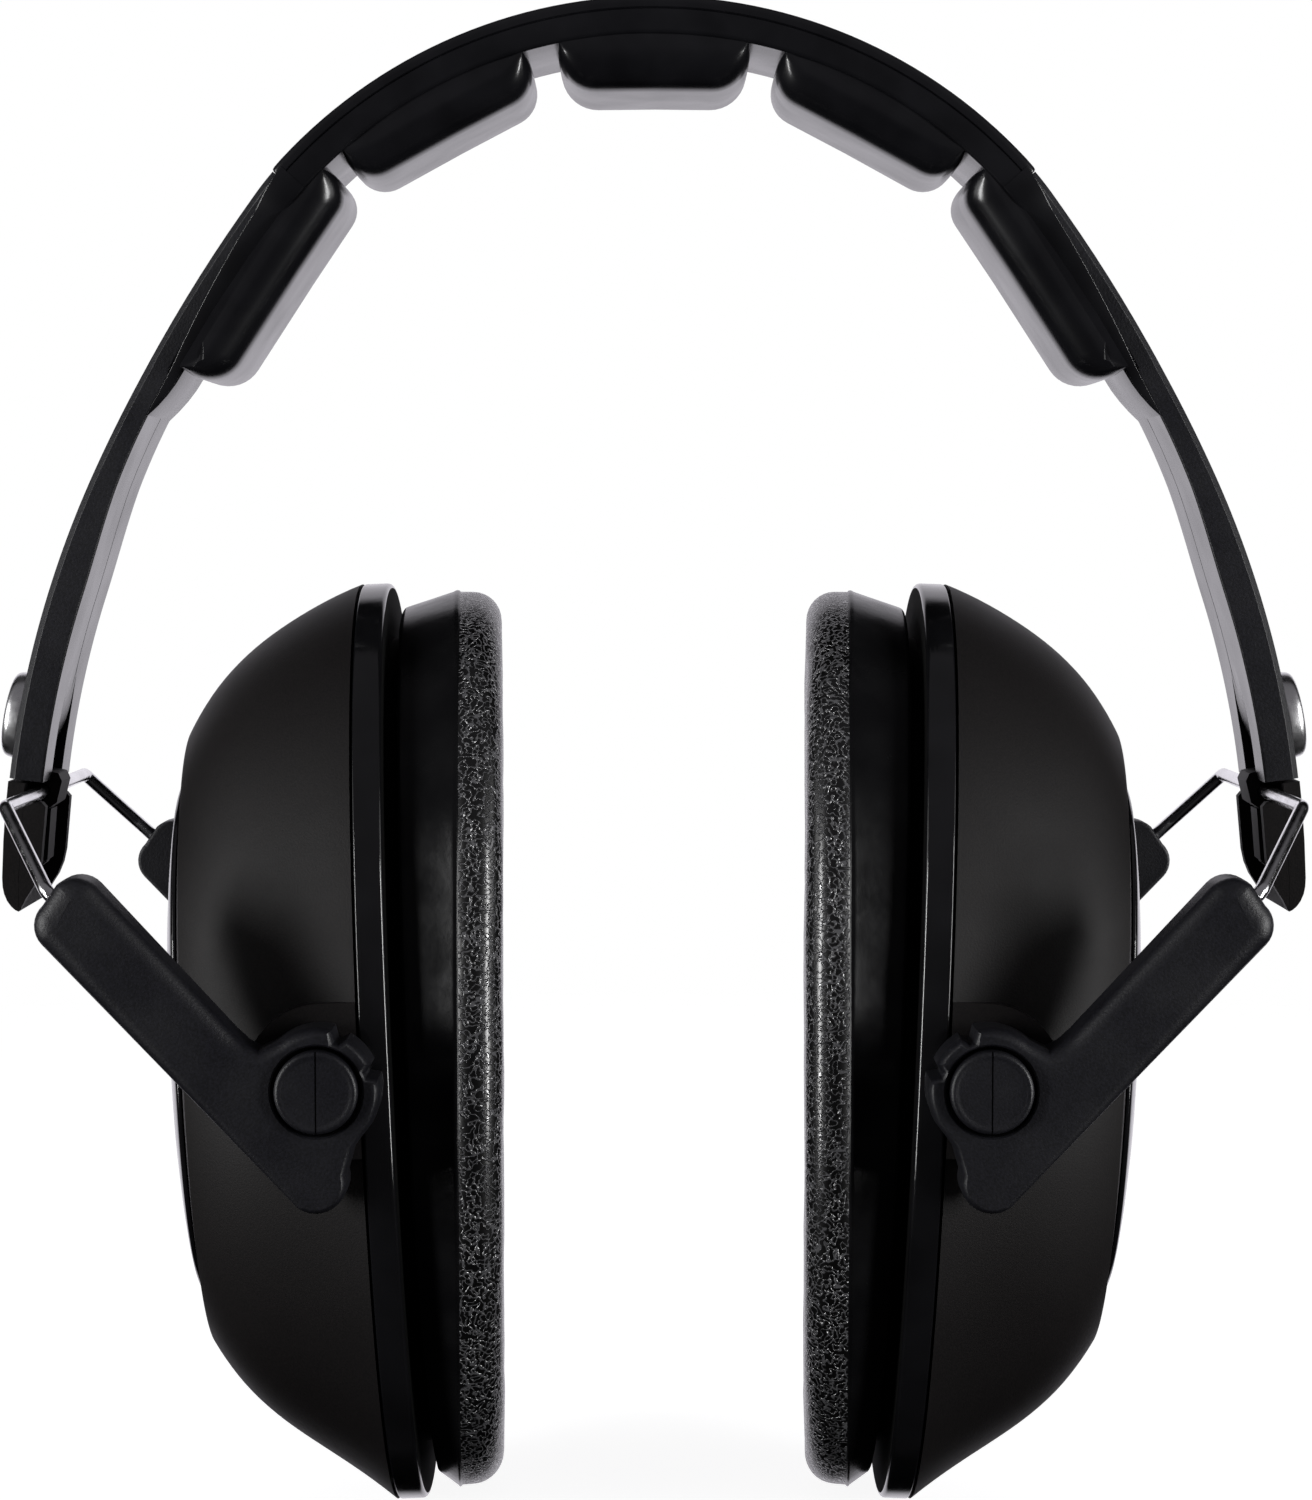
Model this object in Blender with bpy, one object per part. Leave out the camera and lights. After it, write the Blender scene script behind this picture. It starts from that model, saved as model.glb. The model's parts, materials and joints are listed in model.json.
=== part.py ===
"""Folding ear defenders: a sprung headband with a padded sleeve, and on each side a sliding
end piece, a wire yoke with two moulded arms, and a padded cup that turns on two pins.

Metres, +Z up. The wearer's left and right are mirror images across X = 0, and the front is -Y.
The origin is the middle of the flat underside of the headband's centre pad.
"""

import math

import bmesh
import bpy
from mathutils import Vector

MM = 0.001

# Headband: three tangent arcs of its outer face, from the crown to the end, given by the angle
# of the face's normal from the vertical at which each arc ends.
CROWN_Z = 10.3 * MM
BAND_ARCS = ((53.0, 58.06 * MM), (65.3, 167.9 * MM), (91.0, 119.0 * MM))
BAND_END = 83.0
BAND_THICKNESS_TOP, BAND_THICKNESS_END = 2.85 * MM, 4.0 * MM
THIN_UNTIL, THICK_FROM = 62.0, 72.0
BAND_HALF_WIDTH_TOP = 13.4 * MM
BAND_HALF_WIDTH_END = 10.0 * MM
WIDE_UNTIL, NARROW_FROM = 48.0, 62.0

# Sleeve and pads on the crown of the band.
SLEEVE_END = 48.5
LINER_END = 60.1
SLEEVE_PROUD = 0.25 * MM
SLEEVE_SKIN = 0.7 * MM
SLEEVE_SIDE = 1.1 * MM
WEB_TOP, WEB_BOTTOM = 2.8 * MM, 4.06 * MM
PAD_HALF_WIDTH = 13.4 * MM
PADS = ((0.0, -11.6, 11.6, 47.76 * MM), (28.2, 16.0, 41.2, 48.3 * MM),
        (56.5, 44.2, 59.9, 48.9 * MM))
FIT = 0.3 * MM

# Sliding end piece, whose flat tongue runs straight inside the band's end.
SLIDE_ANGLE = 76.25
TRAVEL = 16.0 * MM
TONGUE_TOP, TONGUE_DEPTH = -14.2 * MM, (1.9 * MM, 3.0 * MM)
TONGUE_HALF_WIDTH = 6.5 * MM
POCKET_CLEAR = 0.2 * MM
SLOT_HALF_WIDTH = 2.15 * MM
END_TIP = 90.5
END_FLOOR, END_HEIGHT, END_WALL = 1.9 * MM, 4.6 * MM, 1.7 * MM

# Rivet that holds the tongue.
RIVET_ANGLE = 79.75
RIVET_HEAD_R, RIVET_SHANK_R, RIVET_PROUD = 5.25 * MM, 1.7 * MM, 2.5 * MM

# Yoke: wire, arms and pivots.
WIRE_R = 0.8 * MM
WIRE_X, WIRE_Z, WIRE_CORNER_Y = 71.9 * MM, -80.9 * MM, 29.3 * MM
PIVOT_X, PIVOT_Z = 36.2 * MM, -110.4 * MM
ARM_INNER_Y, ARM_OUTER_Y = 38.4 * MM, 45.0 * MM
ARM_DIRECTION = (0.68, -0.733)
ARM_AXIS, ARM_HALF_WIDTH = -6.7 * MM, 4.3 * MM
PIN_HEAD_R, PIN_SHANK_R = 4.5 * MM, 3.0 * MM
PIN_FACE_Y, PIN_SEAT_Y, PIN_END_Y = 46.0 * MM, 42.8 * MM, 34.6 * MM

# Cup, in its own frame: u outwards from the rim's face, v up, w along Y.
CUP_X, CUP_Z, CUP_TILT = 28.72 * MM, -110.5 * MM, math.radians(2.38)
RIM_HALF_HEIGHT, RIM_HALF_WIDTH = 54.1 * MM, 38.0 * MM
RIM_THICKNESS = 3.2 * MM
OVAL_POWER = 2.25
OVAL_SEGMENTS = 36
SHELL_START, SHELL_EDGE, SHELL_CROWN = 3.5 * MM, 24.0 * MM, 2.5 * MM
SHELL_WALL = 2.2 * MM
LAND_Y, LAND_R = 37.7 * MM, 8.6 * MM
CUSHION_BACK, SEAL_X, SEAL_LEAN = -1.5 * MM, 18.0 * MM, 0.0402
OPENING_INSET = 20.0 * MM


# ---------------------------------------------------------------- frames

def band_point(angle, inset, y, side):
    """A point of the band: angle of the outer face's normal, depth below it, and Y."""
    centre = Vector((0.0, CROWN_Z - BAND_ARCS[0][1]))
    for (end, radius), (_, next_radius) in zip(BAND_ARCS, BAND_ARCS[1:]):
        if angle <= end:
            break
        turn = math.radians(end)
        centre += (radius - next_radius) * Vector((math.sin(turn), math.cos(turn)))
        radius = next_radius
    reach = radius - inset
    turn = math.radians(angle)
    return Vector((side * (centre.x + reach * math.sin(turn)), y,
                   centre.y + reach * math.cos(turn)))


def slider_point(along, depth, y, side):
    """A point of the tongue: distance down the slide, depth below the band's face, and Y."""
    turn = math.radians(SLIDE_ANGLE)
    foot = band_point(SLIDE_ANGLE, 0.0, y, 1)
    x = foot.x + along * math.cos(turn) - depth * math.sin(turn)
    z = foot.z - along * math.sin(turn) - depth * math.cos(turn)
    return Vector((side * x, y, z))


def arm_point(x_inwards, z_up, y, side):
    return Vector((side * (PIVOT_X - x_inwards), y, PIVOT_Z + z_up))


def cup_point(u, v, w, side):
    x = CUP_X + u * math.cos(CUP_TILT) + v * math.sin(CUP_TILT)
    z = CUP_Z - u * math.sin(CUP_TILT) + v * math.cos(CUP_TILT)
    return Vector((side * x, w, z))


def eased(angle, start, end, before, after):
    """A size that turns smoothly from one value to another between two angles of the band."""
    t = min(max((abs(angle) - start) / (end - start), 0.0), 1.0)
    return before + (after - before) * t * t * (3.0 - 2.0 * t)


def half_width(angle):
    return eased(angle, WIDE_UNTIL, NARROW_FROM, BAND_HALF_WIDTH_TOP, BAND_HALF_WIDTH_END)


def band_thickness(angle):
    return eased(angle, THIN_UNTIL, THICK_FROM, BAND_THICKNESS_TOP, BAND_THICKNESS_END)


def signed_band_point(angle, inset, y):
    return band_point(abs(angle), inset, y, 1 if angle >= 0 else -1)


# ---------------------------------------------------------------- making solids

def finish(bm, name, origin=(0.0, 0.0, 0.0), material=None, smooth=35.0):
    """Turns a mesh in world coordinates into an object whose origin is the point given."""
    bmesh.ops.recalc_face_normals(bm, faces=bm.faces)
    bmesh.ops.translate(bm, verts=bm.verts, vec=-Vector(origin))
    mesh = bpy.data.meshes.new(name)
    bm.to_mesh(mesh)
    bm.free()
    mesh.shade_smooth()
    mesh.set_sharp_from_angle(angle=math.radians(smooth))
    obj = bpy.data.objects.new(name, mesh)
    obj.location = origin
    bpy.context.scene.collection.objects.link(obj)
    if material:
        mesh.materials.append(material)
    return obj


def loft(rings, loop=False):
    """A closed skin through rings of equal length: capped at both ends, or joined in a loop."""
    bm = bmesh.new()
    grid = [[bm.verts.new(p) for p in ring] for ring in rings]
    pairs = list(zip(grid, grid[1:] + grid[:1])) if loop else list(zip(grid, grid[1:]))
    for lower, upper in pairs:
        for i in range(len(lower)):
            j = (i + 1) % len(lower)
            bm.faces.new((lower[i], lower[j], upper[j], upper[i]))
    if not loop:
        bm.faces.new(grid[0])
        bm.faces.new(grid[-1])
    return bm


def prism(outline, low, high, place, side):
    """An outline of (a, b) points, extruded along Y from low to high."""
    return loft([[place(a, b, y, side) for a, b in outline] for y in (low, high)])


def turned(profile, centre, axis, segments):
    """A solid of revolution: (radius, height) points about an axis from a centre."""
    axis = Vector(axis).normalized()
    across = axis.orthogonal().normalized()
    other = axis.cross(across)
    rings = []
    for radius, height in profile:
        ring = []
        for k in range(segments):
            a = math.tau * k / segments
            spoke = across * math.cos(a) + other * math.sin(a)
            ring.append(Vector(centre) + axis * height + spoke * radius)
        rings.append(ring)
    return loft(rings)


def boolean(obj, bm, operation, name):
    """Cuts a mesh from an object or joins it on, with a hidden helper object."""
    helper = finish(bm, name)
    helper.hide_render = True
    helper.display_type = "WIRE"
    modifier = obj.modifiers.new(name, "BOOLEAN")
    modifier.operation = operation
    modifier.object = helper
    modifier.solver = "EXACT"


def cut(obj, bm, name):
    boolean(obj, bm, "DIFFERENCE", name)


def join(obj, bm, name):
    boolean(obj, bm, "UNION", name)


def arc(centre, radius, start, end, steps):
    """Points of an arc in a plane, angles in degrees."""
    points = []
    for k in range(steps + 1):
        a = math.radians(start + (end - start) * k / steps)
        points.append((centre[0] + radius * math.cos(a), centre[1] + radius * math.sin(a)))
    return points


def make_material(name, color, roughness, metallic=0.0):
    material = bpy.data.materials.new(name)
    material.use_nodes = True
    shader = material.node_tree.nodes["Principled BSDF"]
    shader.inputs["Base Color"].default_value = (*color, 1.0)
    shader.inputs["Roughness"].default_value = roughness
    shader.inputs["Metallic"].default_value = metallic
    return material


# ---------------------------------------------------------------- headband

def band_section(angle, top, bottom, width):
    """The band's rectangular section with its outer corners chamfered."""
    chamfer = min(0.7 * MM, (bottom - top) / 4)
    corners = ((bottom, -width), (top + chamfer, -width), (top, -width + chamfer),
               (top, width - chamfer), (top + chamfer, width), (bottom, width))
    return [signed_band_point(angle, inset, y) for inset, y in corners]


def headband(material):
    """The moulded spring band, thinner where the sleeve and the pads' web cover it."""
    stations = []
    half = [(0.0, "sleeve")]
    half += [(SLEEVE_END * k / 14, "sleeve") for k in range(1, 14)]
    half += [(SLEEVE_END + 0.1, "sleeve"), (SLEEVE_END + 0.4, "web")]
    half += [(SLEEVE_END + 0.4 + (LINER_END - SLEEVE_END - 0.4) * k / 3, "web") for k in (1, 2)]
    half += [(LINER_END + 0.1, "web"), (LINER_END + 0.45, "open")]
    half += [(LINER_END + (BAND_END - LINER_END) * k / 9, "open") for k in range(1, 10)]
    for angle, zone in [(-a, z) for a, z in reversed(half[1:])] + half:
        top, bottom, width = 0.0, band_thickness(angle), half_width(angle)
        if zone != "open":
            bottom = WEB_TOP - POCKET_CLEAR
        if zone == "sleeve":
            top = SLEEVE_SKIN - SLEEVE_PROUD + POCKET_CLEAR
            width -= SLEEVE_SIDE + POCKET_CLEAR
        stations.append(band_section(angle, top, bottom, width))
    band = finish(loft(stations), "headband", material=material)
    for side, word in ((1, "right"), (-1, "left")):
        cut_band_end(band, side, word)
    return band


def cut_band_end(band, side, word):
    """The tongue's pocket, the rivet's hole and the tapered recess in the inner face."""
    top, past = TONGUE_TOP - 0.6 * MM, 20.0 * MM
    low, high = TONGUE_DEPTH[0] - POCKET_CLEAR, TONGUE_DEPTH[1] + POCKET_CLEAR
    reach = TONGUE_HALF_WIDTH + POCKET_CLEAR
    pocket = [(top, low), (past, low), (past, high), (top, high)]
    cut(band, prism(pocket, -reach, reach, slider_point, side), word + "_pocket_cutter")
    ramp_start, ramp_end, clear = 0.9 * MM, 8.0 * MM, 8.0 * MM
    recess = [(ramp_start, 4.0 * MM), (ramp_end, high - 0.1 * MM), (past, high - 0.1 * MM),
              (past, clear), (ramp_start, clear)]
    cut(band, prism(recess, -3.8 * MM, 3.8 * MM, slider_point, side), word + "_recess_cutter")
    centre = band_point(RIVET_ANGLE, 0.0, 0.0, side)
    profile = [(RIVET_SHANK_R + 0.25 * MM, -high), (RIVET_SHANK_R + 0.25 * MM, 2.0 * MM)]
    cut(band, turned(profile, centre, rivet_axis(side), 20), word + "_rivet_hole_cutter")


def pad_solid(middle, first, last, distance, sign):
    """A pad between two angles of the band, with a flat underside at a distance from the
    centre of the crown's arc and its front and rear edges drawn in."""
    centre = Vector((0.0, CROWN_Z - BAND_ARCS[0][1]))
    turn = math.radians(middle)
    out = Vector((math.sin(turn), math.cos(turn)))
    along = Vector((math.cos(turn), -math.sin(turn)))
    root = []
    for k in range(5):
        angle = last + (first - last) * k / 4
        foot = signed_band_point(angle, WEB_BOTTOM - 0.5 * MM, 0.0)
        offset = Vector((foot.x, foot.z)) - centre
        root.append((offset.dot(along), offset.dot(out)))
    rings = []
    edge, wide, draft = 2.6 * MM, PAD_HALF_WIDTH - 0.1 * MM, 0.4 * MM
    for y, lift, corner in ((-wide, edge, 1.4 * MM), (edge - wide, 0.0, 3.0 * MM),
                            (wide - edge, 0.0, 3.0 * MM), (wide, edge, 1.4 * MM)):
        start, end, floor = root[-1][0] + draft, root[0][0] - draft, distance + lift
        under = [(start, floor + corner), (start + corner, floor), (end - corner, floor),
                 (end, floor + corner)]
        ring = []
        for a, r in under + root:
            place = centre + along * a + out * r
            ring.append(Vector((sign * place.x, y, place.y)))
        rings.append(ring)
    return loft(rings)


def headband_cushion(material):
    """The soft sleeve round the band's crown, with five pads along its underside."""
    sections = []
    count = 28
    for k in range(count + 1):
        angle = SLEEVE_END * (2.0 * k / count - 1.0)
        width = half_width(angle)
        corners = ((WEB_BOTTOM, -width), (-SLEEVE_PROUD, -width), (-SLEEVE_PROUD, width),
                   (WEB_BOTTOM, width))
        sections.append([signed_band_point(angle, inset, y) for inset, y in corners])
    sleeve = finish(loft(sections), "headband_cushion", material=material)
    channel = []
    for k in range(count + 3):
        angle = (SLEEVE_END + 1.5) * (2.0 * k / (count + 2) - 1.0)
        width = half_width(angle) - SLEEVE_SIDE
        top = SLEEVE_SKIN - SLEEVE_PROUD
        corners = ((WEB_TOP, -width), (top, -width), (top, width), (WEB_TOP, width))
        channel.append([signed_band_point(angle, inset, y) for inset, y in corners])
    cut(sleeve, loft(channel), "band_channel_cutter")
    for sign, word in ((1, "right"), (-1, "left")):
        web = []
        for k in range(6):
            angle = SLEEVE_END - 2.0 + (LINER_END - SLEEVE_END + 2.0) * k / 5
            width = half_width(angle) - 0.05 * MM
            low, high = WEB_TOP + 0.02 * MM, WEB_BOTTOM - 0.02 * MM
            corners = ((high, -width), (low, -width), (low, width), (high, width))
            web.append([signed_band_point(sign * angle, inset, y) for inset, y in corners])
        join(sleeve, loft(web), word + "_web")
    for number, pad in enumerate(PADS):
        join(sleeve, pad_solid(*pad, 1), "right_pad_%d" % number)
        if number:
            join(sleeve, pad_solid(*pad, -1), "left_pad_%d" % number)
    return sleeve


# ---------------------------------------------------------------- sliding end

def rivet_axis(side):
    turn = math.radians(RIVET_ANGLE)
    return Vector((side * math.sin(turn), 0.0, math.cos(turn)))


def rivet(side, name, material):
    """The bright round button whose shank runs in the tongue's slot."""
    centre = band_point(RIVET_ANGLE, 0.0, 0.0, side)
    under = FIT
    profile = [(RIVET_SHANK_R, -2.7 * MM), (RIVET_SHANK_R, under), (RIVET_HEAD_R - 0.2 * MM, under),
               (RIVET_HEAD_R, under + 0.4 * MM), (RIVET_HEAD_R - 0.7 * MM, RIVET_PROUD),
               (RIVET_HEAD_R - 1.6 * MM, RIVET_PROUD), (RIVET_HEAD_R - 2.2 * MM, RIVET_PROUD - 0.5 * MM)]
    return finish(turned(profile, centre, rivet_axis(side), 24), name, centre, material)


def end_outline(low_angle, low, high, foot):
    """Side view of the end piece between two depths, its tip rounded off."""
    return [(low_angle, low), (low_angle, high), (88.2, high - 0.25 * MM),
            (89.3, high - 1.2 * MM), (END_TIP - 0.02, foot), (END_TIP - 0.25, 1.3 * MM),
            (END_TIP - 0.85, 0.5 * MM), (END_TIP - 1.2, low)]


def slider(side, name, material):
    """The end piece: tongue, open channel with a middle rib, and the neck round the wire."""
    start = BAND_END + 0.16
    full = BAND_HALF_WIDTH_END
    origin = Vector((side * WIRE_X, 0.0, WIRE_Z))
    skin = [(start, 0.0), (start, END_FLOOR), (88.6, END_FLOOR), (END_TIP, END_FLOOR),
            (END_TIP - 0.23, 1.25 * MM), (END_TIP - 0.8, 0.45 * MM), (END_TIP - 1.7, 0.0),
            (86.0, 0.0)]
    body = finish(prism(skin, -full, full, band_point, side), name, origin, material)
    top, foot = TONGUE_TOP, 17.5 * MM
    low, high = TONGUE_DEPTH
    tongue = [(top, low), (foot, low), (foot, high), (top, high)]
    reach = TONGUE_HALF_WIDTH
    join(body, prism(tongue, -reach, reach, slider_point, side), name + "_tongue")
    for y, word in ((full - END_WALL, "_rear_wall"), (-full + 0.02 * MM, "_front_wall")):
        wall = end_outline(84.15, 0.3 * MM, END_HEIGHT, 2.0 * MM)
        solid = prism(wall, y, y + END_WALL - 0.02 * MM, band_point, side)
        join(body, solid, name + word)
    rib = [(84.4, 1.0 * MM), (84.4, 3.9 * MM), (88.0, 3.7 * MM), (89.0, 1.0 * MM)]
    join(body, prism(rib, -1.0 * MM, 1.0 * MM, band_point, side), name + "_rib")
    cap = [(84.8, 3.1 * MM), (84.8, 4.1 * MM), (87.8, 4.0 * MM), (88.1, 3.1 * MM)]
    join(body, prism(cap, -2.3 * MM, 2.3 * MM, band_point, side), name + "_rib_cap")
    neck = [(12.7 * MM, 2.7 * MM), (12.7 * MM, 5.4 * MM), (13.5 * MM, 6.0 * MM),
            (16.1 * MM, 6.0 * MM), (17.0 * MM, 5.2 * MM), (17.6 * MM, 2.7 * MM)]
    join(body, prism(neck, -3.3 * MM, 3.3 * MM, slider_point, side), name + "_neck")
    at_rivet = (BAND_ARCS[2][1]) * math.sin(math.radians(RIVET_ANGLE - SLIDE_ANGLE))
    gap = 0.45 * MM
    slot_low = at_rivet - TRAVEL - RIVET_SHANK_R - gap
    slot_high = at_rivet + RIVET_SHANK_R + gap
    slot = [(slot_low, low - MM), (slot_high, low - MM), (slot_high, high + MM),
            (slot_low, high + MM)]
    wide = SLOT_HALF_WIDTH
    cut(body, prism(slot, -wide, wide, slider_point, side), name + "_slot_cutter")
    bore = [(WIRE_R + 0.22 * MM, -12.0 * MM), (WIRE_R + 0.22 * MM, 12.0 * MM)]
    cut(body, turned(bore, origin, (0.0, 1.0, 0.0), 16), name + "_wire_bore_cutter")
    return body


# ---------------------------------------------------------------- yoke

def strip_point(along, across):
    """Arm coordinates: along its length from the pivot, and across it."""
    dx, dz = ARM_DIRECTION
    return along * dx - across * dz, along * dz + across * dx


def rounded_path(corners, radius, steps):
    """A path through corners with each inner corner turned into an arc."""
    points = [corners[0]]
    for before, corner, after in zip(corners, corners[1:], corners[2:]):
        into = (before - corner).normalized()
        out = (after - corner).normalized()
        half = into.angle(out) / 2
        reach = radius / math.tan(half)
        middle = corner + (into + out).normalized() * (radius / math.sin(half))
        first = corner + into * reach - middle
        last = corner + out * reach - middle
        for k in range(steps + 1):
            points.append(middle + first.slerp(last, k / steps) * radius)
    points.append(corners[-1])
    return points


def wire_corners(side):
    """The wire's path from inside the front arm, across the end piece, into the rear arm."""
    corners = []
    arm_y = (ARM_INNER_Y + ARM_OUTER_Y) / 2
    for sign in (-1, 1):
        inside = arm_point(*strip_point(-22.0 * MM, ARM_AXIS + 1.1 * MM), sign * arm_y, side)
        entry = arm_point(*strip_point(-35.3 * MM, ARM_AXIS - 0.3 * MM), sign * arm_y, side)
        corner = Vector((side * WIRE_X, sign * WIRE_CORNER_Y, WIRE_Z))
        leg = [inside, entry, corner]
        corners += leg if sign < 0 else leg[::-1]
    return corners


def yoke_wire(side, name, material):
    """The bright spring wire, bent to a wide U."""
    origin = Vector((side * WIRE_X, 0.0, WIRE_Z))
    path = rounded_path(wire_corners(side), 1.9 * MM, 3)
    curve = bpy.data.curves.new(name, "CURVE")
    curve.dimensions = "3D"
    curve.bevel_depth = WIRE_R
    curve.bevel_resolution = 2
    curve.use_fill_caps = True
    spline = curve.splines.new("POLY")
    spline.points.add(len(path) - 1)
    for point, place in zip(spline.points, path):
        point.co = (*(place - origin), 1.0)
    curve.materials.append(material)
    wire = bpy.data.objects.new(name, curve)
    wire.location = origin
    bpy.context.scene.collection.objects.link(wire)
    return wire


def arm_outline():
    """The arm's side view about its pivot: a straight strip, a hub and a short tail."""
    hub, notch, mid = 6.8 * MM, 5.3 * MM, 60.0
    dx, dz = ARM_DIRECTION
    lean = math.degrees(math.atan2(dz, dx))
    corner = 3.0 * MM
    end = strip_point(-32.2 * MM, ARM_AXIS + ARM_HALF_WIDTH - corner)
    outer_end = strip_point(-31.6 * MM, ARM_AXIS - ARM_HALF_WIDTH + corner)
    outline = arc(end, corner, lean + 90.0, lean + 180.0, 4)
    outline += arc(outer_end, corner, lean + 180.0, lean + 270.0, 4)
    outline += arc((-0.2 * MM, -10.0 * MM), 3.4 * MM, -125.0, 15.0, 6)
    outline += [(3.8 * MM, -5.6 * MM), (5.3 * MM, -4.3 * MM)]
    outline += arc((0.0, 0.0), hub, -12.0, 13.0, 3)
    outline += arc((0.0, 0.0), notch, 24.0, 2 * mid - 54.0, 4)
    outline += arc((0.0, 0.0), hub, 77.0, 153.0, 7)
    return outline


def arm(side, sign, name, material):
    """A moulded arm, with the wire's socket in its end and a stepped hole at the pivot."""
    low, high = sorted((sign * ARM_INNER_Y, sign * ARM_OUTER_Y))
    origin = arm_point(0.0, 0.0, sign * ARM_OUTER_Y, side)
    body = finish(prism(arm_outline(), low, high, arm_point, side), name, origin, material)
    bevel = body.modifiers.new("edge_round", "BEVEL")
    bevel.width = 0.5 * MM
    bevel.segments = 1
    bevel.limit_method = "ANGLE"
    bevel.angle_limit = math.radians(60)
    axis = (0.0, sign, 0.0)
    seat = PIN_SEAT_Y - FIT
    profile = [(PIN_SHANK_R + FIT, 30.0 * MM), (PIN_SHANK_R + FIT, seat),
               (4.95 * MM, seat), (4.95 * MM, 50.0 * MM)]
    centre = arm_point(0.0, 0.0, 0.0, side)
    cut(body, turned(profile, centre, axis, 24), name + "_pivot_cutter")
    corners = wire_corners(side)
    inside, entry = (corners[0], corners[1]) if sign < 0 else (corners[-1], corners[-2])
    line = (entry - inside).normalized()
    length = (entry - inside).length
    socket = [(WIRE_R + 0.25 * MM, -0.5 * MM), (WIRE_R + 0.25 * MM, length + 4.0 * MM)]
    cut(body, turned(socket, inside, line, 12), name + "_socket_cutter")
    return body


def pivot_pin(side, sign, name, material):
    """The snap pin on which the cup turns, its round head split by a fine line."""
    centre = arm_point(0.0, 0.0, 0.0, side)
    axis = (0.0, sign, 0.0)
    profile = [(PIN_SHANK_R, PIN_END_Y), (PIN_SHANK_R, PIN_SEAT_Y), (PIN_HEAD_R, PIN_SEAT_Y),
               (PIN_HEAD_R, PIN_FACE_Y - 0.4 * MM), (PIN_HEAD_R - 0.4 * MM, PIN_FACE_Y)]
    origin = arm_point(0.0, 0.0, sign * PIN_FACE_Y, side)
    pin = finish(turned(profile, centre, axis, 24), name, origin, material)
    half = 0.15 * MM
    depth = PIN_FACE_Y - 0.8 * MM
    low, high = sorted((sign * depth, sign * (PIN_FACE_Y + MM)))
    split = [(-half, -6.0 * MM), (half, -6.0 * MM), (half, 6.0 * MM), (-half, 6.0 * MM)]
    cut(pin, prism(split, low, high, arm_point, side), name + "_split_cutter")
    return pin


# ---------------------------------------------------------------- cup

def oval(u, half_height, half_span, side, shift=0.0, segments=OVAL_SEGMENTS):
    """A ring of the cup's oval at one depth; u may be a function of v and w."""
    ring = []
    for k in range(segments):
        a = math.tau * k / segments
        c, s = math.cos(a), math.sin(a)
        v = shift + half_height * math.copysign(abs(c) ** (2 / OVAL_POWER), c)
        w = half_span * math.copysign(abs(s) ** (2 / OVAL_POWER), s)
        depth = u(v, w) if callable(u) else u
        ring.append(cup_point(depth, v, w, side))
    return ring


def dome_size(u):
    """Half height, half width and upward shift of the shell's outside at a depth."""
    t = (u - SHELL_START) / (SHELL_EDGE - SHELL_START)
    height = RIM_HALF_HEIGHT - (12.5 * t + 5.0 * t ** 5) * MM
    width = RIM_HALF_WIDTH - (0.3 + 7.9 * t + 2.8 * t ** 5) * MM
    shift = 1.4 * MM * (1.0 - (1.0 - t) ** 4)
    return height, width, shift


def crown_depth(share):
    """Depth of the shell's outer face at a share of its half size."""
    return SHELL_EDGE + SHELL_CROWN * (1.0 - share * share)


def cup_shell(side, name, material, origin):
    """The hollow outer cup, with a flat land and a hole for each pivot pin."""
    rings = []
    edge_height, edge_width, edge_shift = dome_size(SHELL_EDGE)
    wall = SHELL_WALL
    for share in (0.3, 0.92):
        rings.append(oval(crown_depth(share) - wall, edge_height * share - 0.5 * wall,
                          edge_width * share - 0.5 * wall, side, edge_shift))
    for u in (21.0 * MM, 17.0 * MM, 11.0 * MM, SHELL_START):
        height, width, shift = dome_size(u)
        rings.append(oval(u, height - wall, width - wall, side, shift))
    for u in (SHELL_START, 8.0 * MM, 12.5 * MM, 16.5 * MM, 20.0 * MM, 22.8 * MM, SHELL_EDGE):
        height, width, shift = dome_size(u)
        rings.append(oval(u, height, width, side, shift))
    for share in (0.93, 0.62, 0.3):
        rings.append(oval(crown_depth(share), edge_height * share, edge_width * share, side,
                          edge_shift))
    shell = finish(loft(rings), name, origin, material)
    pivot_u = (PIVOT_X - CUP_X) * math.cos(CUP_TILT) - (PIVOT_Z - CUP_Z) * math.sin(CUP_TILT)
    pivot_v = (PIVOT_X - CUP_X) * math.sin(CUP_TILT) + (PIVOT_Z - CUP_Z) * math.cos(CUP_TILT)
    outline = [(SHELL_START + 0.02 * MM, pivot_v - LAND_R)]
    outline += arc((pivot_u, pivot_v), LAND_R, -90.0, 90.0, 10)
    outline += [(SHELL_START + 0.02 * MM, pivot_v + LAND_R)]
    for sign, word in ((-1, "front"), (1, "rear")):
        low, high = sorted((sign * 34.9 * MM, sign * LAND_Y))
        land = loft([[cup_point(u, v, y, side) for u, v in outline] for y in (low, high)])
        join(shell, land, "%s_%s_land" % (name, word))
        profile = [(PIN_SHANK_R + FIT, 30.0 * MM), (PIN_SHANK_R + FIT, 40.0 * MM)]
        hole = turned(profile, arm_point(0.0, 0.0, 0.0, side), (0.0, sign, 0.0), 20)
        cut(shell, hole, "%s_%s_hole_cutter" % (name, word))
    return shell


def face_plate(side, name, material, origin):
    """The glossy oval badge plate on the outside of the cup."""
    edge_height, edge_width, edge_shift = dome_size(SHELL_EDGE)
    rings = []
    for share, lift in ((0.25, FIT), (0.82, FIT), (0.83, 0.75 * MM), (0.79, 1.05 * MM),
                        (0.5, 1.4 * MM), (0.25, 1.5 * MM)):
        rings.append(oval(crown_depth(share) + lift, edge_height * share,
                          edge_width * share * 0.96, side, edge_shift))
    return finish(loft(rings), name, origin, material)


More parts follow.
